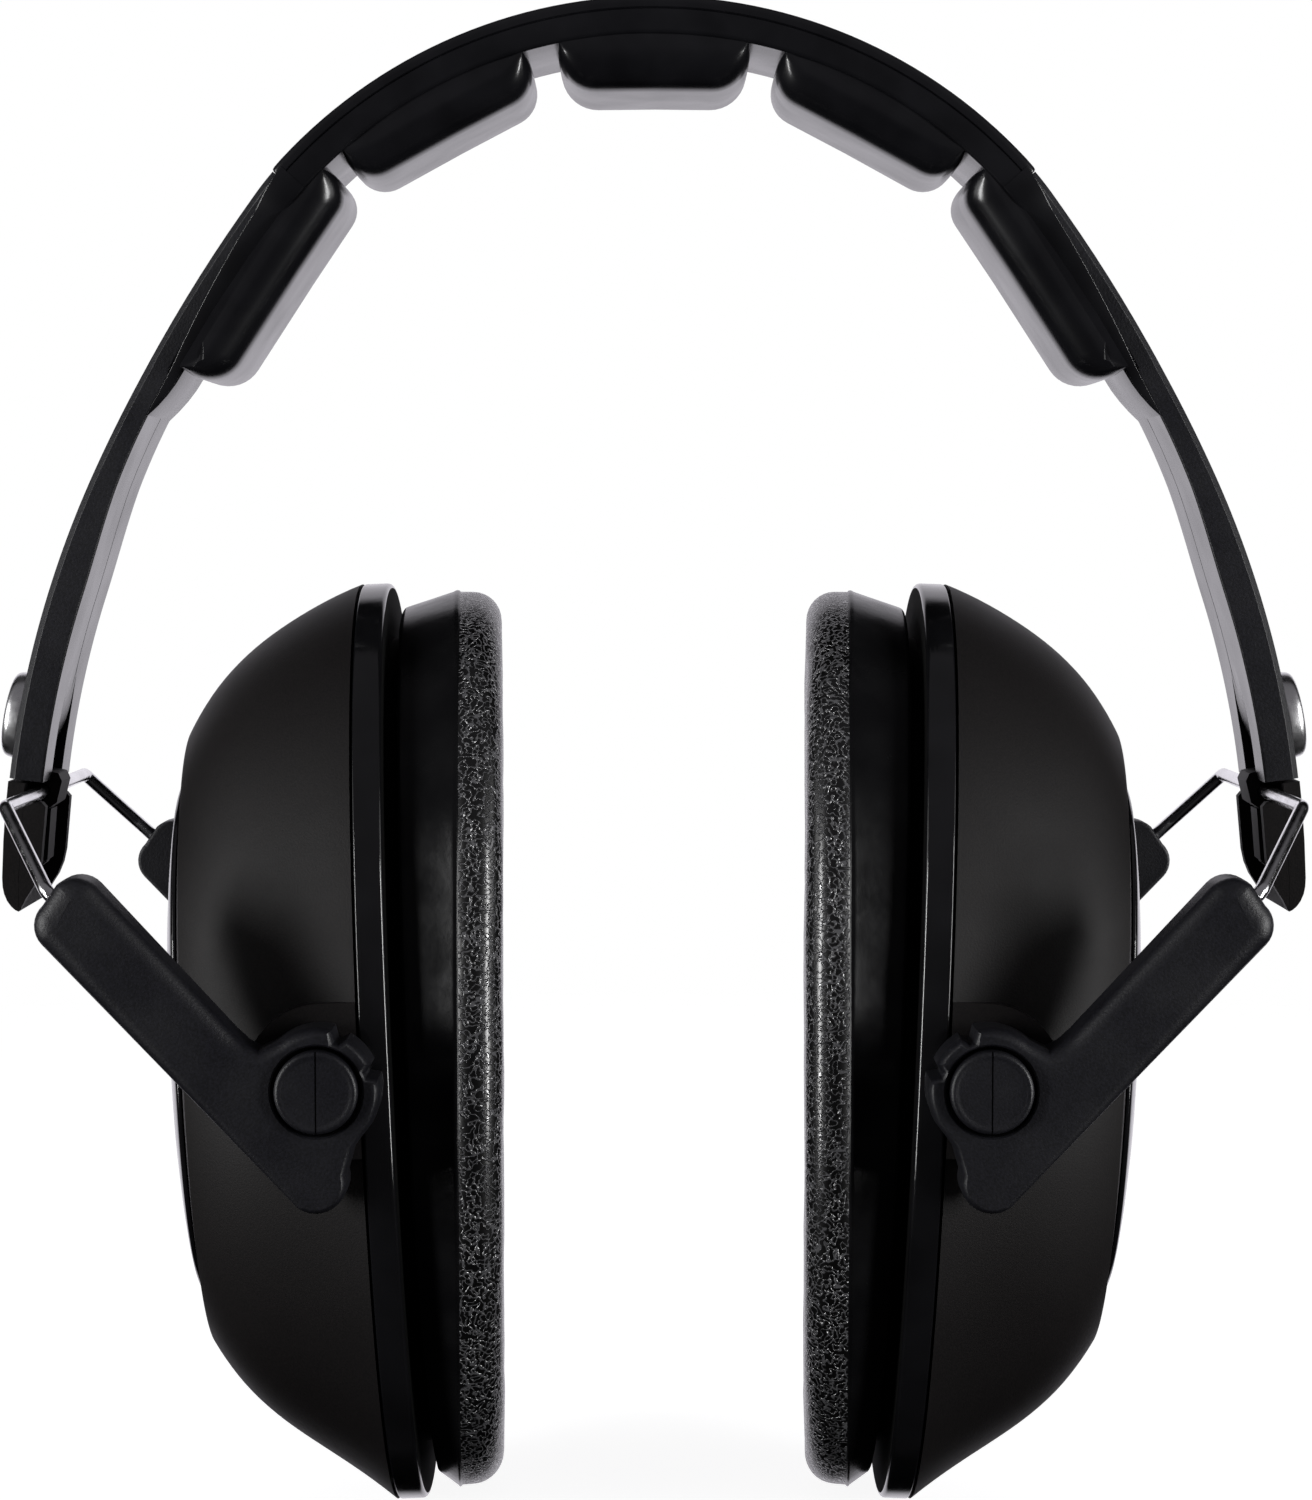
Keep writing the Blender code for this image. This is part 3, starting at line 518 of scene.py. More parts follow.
def headband(materials):
    half = [1.6 * k for k in range(1, 31)] + [SLEEVE_END + 0.02, SLEEVE_END + 0.08]
    half += [SLEEVE_END + 1.0 * k for k in range(1, 12)] + [LINER_END + 0.15, LINER_END + 0.3]
    half += [61.0 + 0.55 * k for k in range(0, 40)] + [BAND_END]
    angles = [-a for a in reversed(half)] + [0.0] + half
    rings = [[signed_band_point(a, inset, y) for inset, y in band_section(a)] for a in angles]
    band = finish(loft(rings), "band")
    past = 20.0 * MM
    low, high = TONGUE_DEPTH[0] - POCKET_PLAY, TONGUE_DEPTH[1] + POCKET_PLAY
    top = TONGUE_TOP - 0.6 * MM
    pocket = [(top, low), (past, low), (past, high), (top, high)]
    cuts = []
    for side in (1, -1):
        width = TONGUE_HALF_WIDTH + POCKET_PLAY
        cuts.append(prism(pocket, -width, width, slider_point, side))
        rings = []
        for y, begin in ((-3.9, 7.0), (-3.5, 4.6), (-2.6, 2.0), (-1.4, 0.0), (0.0, -0.6),
                         (1.4, 0.0), (2.6, 2.0), (3.5, 4.6), (3.9, 7.0)):
            recess = []
            for share in [k / 8 for k in range(9)]:
                along = (begin + (12.0 - begin) * share) * MM
                recess.append((along, THICKNESS_END - (THICKNESS_END - high) * share ** 1.6))
            recess += [(past, high - 0.1 * MM), (past, 9.0 * MM), (begin * MM, 9.0 * MM)]
            rings.append([slider_point(a, b, y * MM, side) for a, b in recess])
        cuts.append(loft(rings))
    combine(band, cuts, "DIFFERENCE")
    even(band, 32.0)
    centre = Vector((0.0, 0.0, CROWN_Z - 100.0 * MM))
    for face in band.data.polygons:
        inwards = (centre - face.center).normalized()
        inwards.y = 0.0
        face.material_index = int(face.normal.dot(inwards) > 0.8)
    put(band, "band", "grained_plastic", materials, "headband")


def sleeve(material):
    """The soft sleeve round the band's crown, with a groove round each side."""
    def section(angle, shrink):
        width = half_width(angle) - shrink
        groove, half, deep = 1.15 * MM, 0.14 * MM, 0.2 * MM
        side = ((-SLEEVE_PROUD + shrink, 0.75 * MM), (groove - half, 0), (groove, -deep),
                (groove + half, 0), (WEB_BOTTOM - shrink, 0.5 * MM))
        corners = []
        for sign, points in ((-1, reversed(side)), (1, side)):
            for inset, extra in points:
                sharp = extra <= 0
                corners.append((inset, sign * (width + (extra if sharp else 0.0)),
                                0 if sharp else extra))
        return rounded(corners, 5)
    half = [SLEEVE_END * k / 30 for k in range(1, 30)]
    ends = ((SLEEVE_END - 0.45, 0.02 * MM), (SLEEVE_END - 0.12, 0.08 * MM),
            (SLEEVE_END, 0.22 * MM))
    stations = [(-a, s) for a, s in reversed(ends)] + [(-a, 0.0) for a in reversed(half)]
    stations += [(0.0, 0.0)] + [(a, 0.0) for a in half] + list(ends)
    rings = [[signed_band_point(a, inset, y) for inset, y in section(a, shrink)]
             for a, shrink in stations]
    piece = put(finish(loft(rings), "crown_sleeve"), "band", "soft_pad", material,
                "headband_cushion")


def liner(side, word, material):
    """The liner under the band past the sleeve, with a tapering lip up each of its sides."""
    first, last = SLEEVE_END - 1.0, LINER_END
    rings = []
    count = 26
    for k in range(count + 1):
        share = k / count
        angle = first + (last + 2.2 - first) * share
        width = half_width(angle) + 0.05 * MM
        tip = max(0.0, (angle - last) / 2.2)
        lip_top = 0.35 * MM + (WEB_TOP - 0.5 * MM) * min(1.0, share * 1.15) ** 1.3
        low = WEB_BOTTOM - (WEB_BOTTOM - WEB_TOP) * tip ** 2
        inner = width - 0.45 * MM
        section = rounded((
            (low, -width, 0.4 * MM), (lip_top, -width, 0.15 * MM),
            (lip_top, -inner, 0.1 * MM), (WEB_TOP, -inner, 0), (WEB_TOP, inner, 0),
            (lip_top, inner, 0.1 * MM), (lip_top, width, 0.15 * MM), (low, width, 0.4 * MM)), 4)
        rings.append([band_point(angle, inset, y, side) for inset, y in section])
    piece = put(finish(loft(rings), word + "_liner"), "band", "soft_pad", material)


def pad(name, middle, first, last, distance, side, material):
    """A rounded pad with bulging ends, between two angles of the band."""
    centre = Vector((0.0, CROWN_Z - BAND_ARCS[0][1]))
    turn = math.radians(middle)
    out = Vector((math.sin(turn), math.cos(turn)))
    along = Vector((math.cos(turn), -math.sin(turn)))
    root = []
    for k in range(7):
        foot = signed_band_point(last + (first - last) * k / 6, WEB_BOTTOM - 0.35 * MM, 0.0)
        offset = Vector((foot.x, foot.z)) - centre
        root.append((offset.dot(along), offset.dot(out)))
    start, end = root[-1], root[0]

    def outline(inset):
        floor = distance + inset
        corner = PAD_CORNER - 0.5 * inset
        bulge = PAD_BULGE - inset
        corners = [(start[0] - bulge, floor, corner), (0.0, floor + 0.12 * MM, 0),
                   (end[0] + bulge, floor, corner)]
        corners += [(a, b, 0) for a, b in root]
        return rounded(corners, 10)

    rings = []
    edge, wide = PAD_EDGE, PAD_HALF_WIDTH
    levels = []
    for k in range(13):
        angle, power = math.radians(90.0 - 7.5 * k), 2.0 / 2.4
        levels.append((wide + 0.1 * MM - edge * (1.0 - math.sin(angle) ** power),
                       PAD_DOME * (1.0 - max(math.cos(angle), 0.0) ** power)))
    levels += [(wide - edge - 3 * MM, -0.06 * MM), (0.0, -0.08 * MM)]
    levels = [(-y, inset) for y, inset in levels] + [(y, i) for y, i in reversed(levels[:-1])]
    for y, inset in levels:
        ring = []
        for index, (a, r) in enumerate(outline(inset)):
            place = centre + along * a + out * r
            at_root = r > min(start[1], end[1]) - 0.3 * MM
            reach = min(abs(y), wide - 0.3 * MM) if at_root else abs(y)
            ring.append(Vector((side * place.x, math.copysign(reach, y), place.y)))
        rings.append(ring)
    piece = put(finish(loft(rings), name, 40.0), "band", "soft_pad", material)


# ---------------------------------------------------------------- sliding end

def rivet_axis(side):
    turn = math.radians(RIVET_ANGLE)
    return Vector((side * math.sin(turn), 0.0, math.cos(turn)))


def rivet(side, word, material):
    centre = band_point(RIVET_ANGLE, 0.0, 0.0, side)
    r, top = RIVET_R, RIVET_PROUD
    profile = [(RIVET_SHANK_R, RIVET_SHANK_FOOT), (RIVET_SHANK_R, FIT), (r - 0.5 * MM, FIT)]
    profile += arc((r - 0.4 * MM, FIT + 0.4 * MM), 0.4 * MM, -90, 10, 5)
    profile += arc((r - 1.1 * MM, top - 0.9 * MM), 0.9 * MM, 10, 90, 6)
    profile += [(r - 1.5 * MM, top), (r - 1.9 * MM, top - 0.15 * MM),
                (r - 2.3 * MM, top - 0.5 * MM), (r - 3.4 * MM, top - 0.62 * MM),
                (0.4 * MM, top - 0.65 * MM)]
    button = finish(turned(profile, centre, rivet_axis(side), 64), word + "_button")
    put(button, "band", "steel", material, word + "_size_rivet")


def slider(side, word, material):
    """The end piece: tongue, open channel with a T-shaped rib, and the neck round the wire."""
    start, full = BAND_END + 0.16, HALF_WIDTH_END
    skin = [(start, 0.0), (start, END_FLOOR), (88.6, END_FLOOR), (END_TIP, END_FLOOR),
            (END_TIP - 0.1, 1.5 * MM), (END_TIP - 0.3, 1.05 * MM), (END_TIP - 0.6, 0.6 * MM),
            (END_TIP - 1.0, 0.25 * MM), (END_TIP - 1.4, 0.07 * MM), (END_TIP - 1.9, 0.0),
            (86.5, 0.0), (84.8, 0.0)]
    body = finish(prism(skin, -full, full, band_point, side), word + "_end_piece")
    top, foot = TONGUE_TOP, TONGUE_FOOT
    low, high = TONGUE_DEPTH
    solids = [prism([(top, low), (foot, low), (foot, high), (top, high)],
                    -TONGUE_HALF_WIDTH, TONGUE_HALF_WIDTH, slider_point, side)]
    wall = [(84.15, 0.3 * MM), (84.15, END_HEIGHT - 0.5 * MM), (84.4, END_HEIGHT),
            (87.6, END_HEIGHT - 0.15 * MM), (88.4, END_HEIGHT - 0.45 * MM),
            (89.1, END_HEIGHT - 1.0 * MM), (89.8, END_HEIGHT - 1.9 * MM),
            (END_TIP - 0.02, 2.0 * MM), (END_TIP - 0.3, 1.15 * MM), (END_TIP - 0.65, 0.65 * MM),
            (END_TIP - 1.2, 0.3 * MM)]
    for y in (full - END_WALL, -full + 0.02 * MM):
        solids.append(prism(wall, y, y + END_WALL - 0.02 * MM, band_point, side))
    rib = [(84.4, 1.0 * MM), (84.4, 3.9 * MM), (88.0, 3.7 * MM), (89.0, 1.0 * MM)]
    solids.append(prism(rib, -1.0 * MM, 1.0 * MM, band_point, side))
    cap = [(84.8, 3.1 * MM), (84.8, 4.1 * MM), (87.8, 4.0 * MM), (88.1, 3.1 * MM)]
    solids.append(prism(cap, -2.3 * MM, 2.3 * MM, band_point, side))
    neck = [(12.7 * MM, 2.7 * MM), (12.7 * MM, 5.4 * MM), (13.5 * MM, 6.0 * MM),
            (16.1 * MM, 6.0 * MM), (17.0 * MM, 5.2 * MM), (17.6 * MM, 2.7 * MM)]
    solids.append(prism(neck, -3.3 * MM, 3.3 * MM, slider_point, side))
    combine(body, solids, "UNION")
    reach = BAND_ARCS[2][1] * math.sin(math.radians(RIVET_ANGLE - SLIDE_ANGLE))
    slot_low, slot_high = reach - SLIDE_TRAVEL - SLOT_HALF_WIDTH, reach + SLOT_HALF_WIDTH
    slot = [(slot_low, 0.9 * MM), (slot_high, 0.9 * MM), (slot_high, 4.0 * MM),
            (slot_low, 4.0 * MM)]
    bore = [(WIRE_R + 0.1 * MM, -12.0 * MM), (WIRE_R + 0.1 * MM, 12.0 * MM)]
    centre = Vector((side * WIRE_X, 0.0, WIRE_Z))
    combine(body, [prism(slot, -SLOT_HALF_WIDTH, SLOT_HALF_WIDTH, slider_point, side),
                   turned(bore, centre, (0.0, 1.0, 0.0), 24)], "DIFFERENCE")
    soften(body, 0.22 * MM, 3)
    even(body, 50.0)
    put(body, word + "_end", "satin_plastic", material, word + "_size_slider")


# ---------------------------------------------------------------- yoke

def wire_corners(side):
    """The wire's path from inside the front arm, across the end piece, into the rear arm."""
    corners = []
    arm_y = (ARM_INNER_Y + ARM_OUTER_Y) / 2
    for sign in (-1, 1):
        inside = arm_point(*strip_point(-22.0 * MM, ARM_AXIS + 1.1 * MM), sign * arm_y, side)
        entry = arm_point(*strip_point(-35.3 * MM, ARM_AXIS - 0.3 * MM), sign * arm_y, side)
        leg = [inside, entry, Vector((side * WIRE_X, sign * WIRE_CORNER_Y, WIRE_Z))]
        corners += leg if sign < 0 else leg[::-1]
    return corners


def yoke_wire(side, word, material):
    """The bright spring wire, bent to a wide U with round bends."""
    corners = wire_corners(side)
    path = [corners[0]]
    radius = WIRE_BEND_R
    for before, corner, after in zip(corners, corners[1:], corners[2:]):
        into, out = (before - corner).normalized(), (after - corner).normalized()
        half = into.angle(out) / 2
        middle = corner + (into + out).normalized() * (radius / math.sin(half))
        first = (corner + into * radius / math.tan(half) - middle).normalized()
        last = (corner + out * radius / math.tan(half) - middle).normalized()
        path += [middle + first.slerp(last, k / 10) * radius for k in range(11)]
    path.append(corners[-1])
    rings = []
    for i, place in enumerate(path):
        ahead = path[min(i + 1, len(path) - 1)] - place
        behind = place - path[max(i - 1, 0)]
        axis = (ahead.normalized() + behind.normalized()).normalized()
        across = axis.cross(Vector((0.35, 0.2, 0.9))).normalized()
        other = axis.cross(across)
        rings.append([place + WIRE_R * (across * math.cos(math.tau * k / 20) +
                                        other * math.sin(math.tau * k / 20)) for k in range(20)])
    wire = finish(loft(rings), word + "_wire")
    put(wire, word + "_yoke", "steel", material, word + "_yoke_wire")


def arm_outline():
    """The arm's side view about its pivot: a straight strip, a hub with a notch, and a tail."""
    hub, notch, corner = 6.8 * MM, 5.6 * MM, 3.0 * MM
    dx, dz = ARM_DIRECTION
    lean = math.degrees(math.atan2(dz, dx))
    end = strip_point(-32.2 * MM, ARM_AXIS + ARM_HALF_WIDTH - corner)
    outer_end = strip_point(-31.6 * MM, ARM_AXIS - ARM_HALF_WIDTH + corner)
    outline = arc(end, corner, lean + 90.0, lean + 180.0, 8)
    outline += arc(outer_end, corner, lean + 180.0, lean + 270.0, 8)
    outline += arc((-0.2 * MM, -10.0 * MM), 3.4 * MM, -125.0, 15.0, 12)
    outline += [(3.5 * MM, -7.6 * MM), (3.9 * MM, -6.2 * MM), (4.8 * MM, -5.0 * MM),
                (6.0 * MM, -3.4 * MM)]
    outline += arc((0.0, 0.0), hub, -14.0, 12.0, 6)
    outline += arc((0.0, 0.0), notch, 17.0, 20.0, 1)
    outline += arc((0.0, 0.0), hub - 0.3 * MM, 26.0, 60.0, 6)
    outline += arc((0.0, 0.0), notch, 66.0, 69.0, 1)
    outline += arc((0.0, 0.0), hub, 76.0, 130.0, 9)
    outline += [strip_point(-7.4 * MM, ARM_AXIS + ARM_HALF_WIDTH + 0.7 * MM),
                strip_point(-8.8 * MM, ARM_AXIS + ARM_HALF_WIDTH + 0.15 * MM),
                strip_point(-10.6 * MM, ARM_AXIS + ARM_HALF_WIDTH)]
    return outline


def inset_outline(outline, inset):
    """The arm's outline drawn in: fully along the strip, and less round the small hub."""
    points = [Vector(point) for point in outline]
    drawn = []
    for i, point in enumerate(points):
        along = (points[(i + 1) % len(points)] - points[i - 1]).normalized()
        inwards = Vector((-along.y, along.x))
        reach = -point.dot(Vector(ARM_DIRECTION)) / MM
        share = min(max((reach - 4.0) / 7.0, 0.0), 1.0)
        drawn.append(tuple(point + inwards * inset * (0.3 + 0.7 * share)))
    return drawn


def arm(side, sign, word, place, material):
    outline = arm_outline()
    rings = [(inset * MM, ARM_INNER_Y + drop * MM) for inset, drop in ARM_BACK]
    rings += [(inset * MM, ARM_OUTER_Y - drop * MM) for inset, drop in ARM_CROWN]
    bm = loft([[arm_point(a, b, sign * y, side) for a, b in inset_outline(outline, inset)]
               for inset, y in rings])
    body = finish(bm, "%s_%s_arm_piece" % (word, place))
    seat = PIN_SEAT_Y - FIT
    hole = [(PIN_SHANK_R + FIT, 30.0 * MM), (PIN_SHANK_R + FIT, seat), (4.95 * MM, seat),
            (4.95 * MM, ARM_OUTER_Y - 0.2 * MM), (5.3 * MM, ARM_OUTER_Y + 0.15 * MM),
            (5.3 * MM, 50.0 * MM)]
    corners = wire_corners(side)
    inside, entry = (corners[0], corners[1]) if sign < 0 else (corners[-1], corners[-2])
    bore_r, depth = WIRE_R + 0.15 * MM, (entry - inside).length
    socket = [(bore_r, -0.5 * MM), (bore_r, depth + 4 * MM)]
    combine(body, [turned(hole, arm_point(0.0, 0.0, 0.0, side), (0.0, sign, 0.0), 64),
                   turned(socket, inside, entry - inside, 24)], "DIFFERENCE")
    even(body)
    put(body, word + "_yoke", "grained_plastic", material, "%s_%s_arm" % (word, place))


def pivot_cap(side, sign, word, place, material):
    """The pin's round head, with a soft rim and a fine split line."""
    r, face = PIN_HEAD_R, PIN_FACE_Y
    profile = [(PIN_SHANK_R, PIN_END_Y), (PIN_SHANK_R, PIN_SEAT_Y), (r, PIN_SEAT_Y)]
    profile += arc((r - 0.5 * MM, face - 0.5 * MM), 0.5 * MM, 0, 90, 5)
    profile += [(r - 0.75 * MM, face - 0.1 * MM), (r - 1.1 * MM, face - 0.14 * MM),
                (0.3 * MM, face - 0.05 * MM)]
    centre = arm_point(0.0, 0.0, 0.0, side)
    pin = finish(turned(profile, centre, (0.0, sign, 0.0), 72), "%s_%s_cap" % (word, place))
    half = 0.09 * MM
    low, high = sorted((sign * (face - 0.45 * MM), sign * (face + MM)))
    split = [(-half, -6.0 * MM), (half, -6.0 * MM), (half, 6.0 * MM), (-half, 6.0 * MM)]
    combine(pin, [prism(split, low, high, arm_point, side)], "DIFFERENCE")
    even(pin)
    put(pin, word + "_pins", "grained_plastic", material, "%s_%s_pivot_pin" % (word, place))


# ---------------------------------------------------------------- cup

def oval(u, half_height, half_span, side, shift=0.0):
    """A ring of the cup's oval at one depth; u may be a function of v and w."""
    ring = []
    for k in range(OVAL_SEGMENTS):
        a = math.tau * k / OVAL_SEGMENTS
        c, s = math.cos(a), math.sin(a)
        v = shift + half_height * math.copysign(abs(c) ** (2 / OVAL_POWER), c)
        w = half_span * math.copysign(abs(s) ** (2 / OVAL_POWER), s)
        ring.append(cup_point(u(v, w) if callable(u) else u, v, w, side))
    return ring


def dome_size(u):
    """Half height, half width and upward shift of the shell's outside at a depth."""
    t = (u - SHELL_START) / (SHELL_EDGE - SHELL_START)
    height = RIM_HALF_HEIGHT - (12.5 * t + 5.0 * t ** 5) * MM
    width = RIM_HALF_WIDTH - (0.3 + 7.9 * t + 2.8 * t ** 5) * MM
    return height, width, 1.4 * MM * (1.0 - (1.0 - t) ** 4)


def crown_depth(share):
    return SHELL_EDGE + SHELL_CROWN * (1.0 - share * share)


def cup_shell(side, word, material):
    """The hollow outer cup, with a flat land and a hole for each pivot pin."""
    height, width, shift = dome_size(SHELL_EDGE)
    rings = []
    for share in (0.3, 0.92):
        rings.append(oval(crown_depth(share) - SHELL_WALL, height * share - 0.5 * SHELL_WALL,
                          width * share - 0.5 * SHELL_WALL, side, shift))
    for u in (21.0 * MM, 17.0 * MM, 11.0 * MM, SHELL_START):
        high, wide, up = dome_size(u)
        rings.append(oval(u, high - SHELL_WALL, wide - SHELL_WALL, side, up))
    steps = 22
    for k in range(steps + 1):
        u = SHELL_START + (SHELL_EDGE - SHELL_START) * (1 - (1 - k / steps) ** 1.4)
        rings.append(oval(u, *dome_size(u)[:2], side, dome_size(u)[2]))
    for share in (0.985, 0.96, 0.92, 0.88, 0.84, 0.8, 0.65, 0.45, 0.25):
        rings.append(oval(crown_depth(share) - 0.12 * MM * (share > 0.98), height * share,
                          width * share, side, shift))
    shell = finish(loft(rings), word + "_cup_outer", 40.0)
    cos, sin = math.cos(CUP_TILT), math.sin(CUP_TILT)
    pivot_u = (PIVOT_X - CUP_X) * cos - (PIVOT_Z - CUP_Z) * sin
    pivot_v = (PIVOT_X - CUP_X) * sin + (PIVOT_Z - CUP_Z) * cos
    outline = [(SHELL_START + 0.02 * MM, pivot_v - LAND_R)]
    outline += arc((pivot_u, pivot_v), LAND_R, -90.0, 90.0, 28)
    outline += [(SHELL_START + 0.02 * MM, pivot_v + LAND_R)]
    lands, holes = [], []
    for sign in (-1, 1):
        low, high = sorted((sign * 34.9 * MM, sign * LAND_Y))
        lands.append(loft([[cup_point(u, v, y, side) for u, v in outline] for y in (low, high)]))
        hole = [(PIN_SHANK_R + FIT, 30.0 * MM), (PIN_SHANK_R + FIT, 40.0 * MM)]
        holes.append(turned(hole, arm_point(0.0, 0.0, 0.0, side), (0.0, sign, 0.0), 32))
    combine(shell, lands, "UNION")
    combine(shell, holes, "DIFFERENCE")
    even(shell)
    put(shell, word + "_cup", "satin_plastic", material, word + "_cup_shell")


def face_plate(side, word, material):
    """The glossy oval plate on the outside of the cup."""
    height, width, shift = dome_size(SHELL_EDGE)
    rings = []
    for share, lift in ((0.25, 0.1), (0.82, 0.1), (0.832, 0.3), (0.832, 0.55), (0.826, 0.72),
                        (0.815, 0.82), (0.79, 0.92), (0.72, 1.08), (0.6, 1.25), (0.45, 1.38),
                        (0.3, 1.46), (0.15, 1.5)):
        rings.append(oval(crown_depth(share) + lift * MM, height * share, width * share * 0.96,
                          side, shift))
    plate = finish(loft(rings), word + "_badge_plate", 40.0)
    put(plate, word + "_cup", "gloss_plastic", material, word + "_face_plate")


def section_ring(section, side):
    """A ring round the cup's axis from a section of (inset, depth) points."""
    return loft([oval(u, RIM_HALF_HEIGHT - inset, RIM_HALF_WIDTH - inset, side)
                 for inset, u in section], loop=True)


def rim(side, word, materials):
    """The glossy flange that closes the shell and carries the cushion."""
    thick = RIM_THICKNESS
    section = rounded([(a * MM, b * MM, r * MM) for a, b, r in (
        (0.0, 0.0, 0.55), (0.0, thick / MM, 0.25), (3.8, thick / MM, 0), (3.9, 5.6, 0),
        (5.0, 5.6, 0), (5.2, 1.8, 0), (19.4, 1.8, 0.2), (19.5, 0.0, 0.4), (10.0, 0.0, 0),
        (9.9, -1.2, 0.2), (6.6, -1.2, 0.2), (6.5, 0.0, 0))], 5)
    ring = finish(section_ring(section, side), word + "_rim", 40.0)
    # Faces down in the groove behind the cushion take the second material, which is painted
    # shade.
    for polygon in ring.data.polygons:
        inset, lift = section[polygon.index // OVAL_SEGMENTS]
        polygon.material_index = int(inset > 1.2 * MM and lift < 1.7 * MM)
    put(ring, word + "_cup", "gloss_plastic", materials, word + "_cushion_plate")


def cup_foam(side, word, material):
    """The sound-absorbing foam in the back of the cup, gently crowned towards the ear."""
    rings = []
    for share, rise in ((0.1, 1.2), (0.3, 1.1), (0.5, 0.9), (0.7, 0.55), (0.85, 0.25),
                        (0.95, 0.05)):
        high, wide, up = dome_size(6.5 * MM)
        rings.append(oval((6.3 - rise * 0.3) * MM, (high - 4.4 * MM) * share,
                          (wide - 4.4 * MM) * share, side, up))
    for u, clear in ((6.6, 4.2), (7.6, 3.5), (12.0, 3.3), (17.0, 3.6), (20.5, 4.6)):
        high, wide, up = dome_size(u * MM)
        rings.append(oval(u * MM, high - clear * MM, wide - clear * MM, side, up))
    foam = finish(loft(rings), word + "_absorber")
    put(foam, word + "_cup", "foam", material, word + "_cup_foam")


def cushion_depth(lift):
    """Depth of a point of the cushion: up to 5 mm it is counted from the sealing face, and
    from there it spreads evenly up to the cushion's back at 10 mm."""
    def depth(v, w):
        plane = SEAL_X + SEAL_LEAN * w
        seal = (plane - CUP_X - v * math.sin(CUP_TILT)) / math.cos(CUP_TILT)
        near = seal + min(lift, 5.0 * MM)
        return near + (CUSHION_BACK - seal - 5.0 * MM) * max(0.0, lift / MM - 5.0) / 5.0
    return depth


def cushion(side, word, smooth, grained):
    """The sealing ring: a smooth side wall, a fine seam, and a grained rounded face."""
    wall = [(3.0, 10.0, 0.5), (1.3, 5.5, 0), (1.18, 5.35, 0), (1.12, 5.15, 0), (1.2, 4.95, 0),
            (1.34, 4.85, 0)]
    face = [(1.6, 0.05, 3.5), (6.0, 0.0, 0), (11.5, -0.12, 0), (16.0, 0.0, 0), (20.0, 0.1, 3.6),
            (20.2, 6.0, 2.0), (19.4, 10.0, 0.8)]
    steps = 8
    section = rounded([(a * MM, b * MM, r * MM) for a, b, r in wall + face], steps)
    rings = [oval(cushion_depth(lift), RIM_HALF_HEIGHT - inset, RIM_HALF_WIDTH - inset, side)
             for inset, lift in section]
    ring = finish(loft(rings, loop=True), word + "_ear_cushion", 60.0)
    arc_rows, sharp_rows = steps + 1, 4
    grained_rows = range(arc_rows + sharp_rows, len(section) - arc_rows)
    for polygon in ring.data.polygons:
        polygon.material_index = int(polygon.index // OVAL_SEGMENTS in grained_rows)
    for vertex in ring.data.vertices:
        place = Vector(vertex.co)
        wave = noise.noise(place * 90.0) * 0.16 * MM + noise.noise(place * 310.0) * 0.05 * MM
        vertex.co += vertex.normal * wave
    put(ring, word + "_cup", "leatherette", (smooth, grained), word + "_cushion_cover",
        word + "_cushion_foam")


# ---------------------------------------------------------------- studio

def studio():
    scene = bpy.context.scene
    scene.view_settings.view_transform = "Standard"
    camera = bpy.data.objects.new("camera", bpy.data.cameras.new("camera"))
    camera.data.sensor_fit = "VERTICAL"
    camera.data.sensor_height = CAMERA_SENSOR
    camera.data.lens = CAMERA_LENS
    camera.data.clip_start = 0.01
    e = CAMERA_ELEVATION
    camera.location = Vector((0.0, -CAMERA_DISTANCE * math.cos(e),
                              CAMERA_DISTANCE * math.sin(e) + CAMERA_AIM.z))
    camera.rotation_euler = (CAMERA_AIM - camera.location).to_track_quat("-Z", "Y").to_euler()
    scene.collection.objects.link(camera)
    scene.camera = camera
    surroundings(scene)
    floor(CAD_BOX[0][2] - 0.2 * MM)
    for sign, word in reversed(SIDES):
        for name, (x, y, z), aim, size, power in LIGHTS:
            area(word + "_" + name, (sign * x, y, z), (0.0, 0.0, aim), size, power)


def area(name, place, aim, size, power):
    data = bpy.data.lights.new(name, "AREA")
    data.shape = "RECTANGLE"
    data.size, data.size_y = size
    data.energy = power
    light = bpy.data.objects.new(name, data)
    light.location = place
    light.rotation_euler = (Vector(aim) - Vector(place)).to_track_quat("-Z", "Y").to_euler()
    bpy.context.scene.collection.objects.link(light)


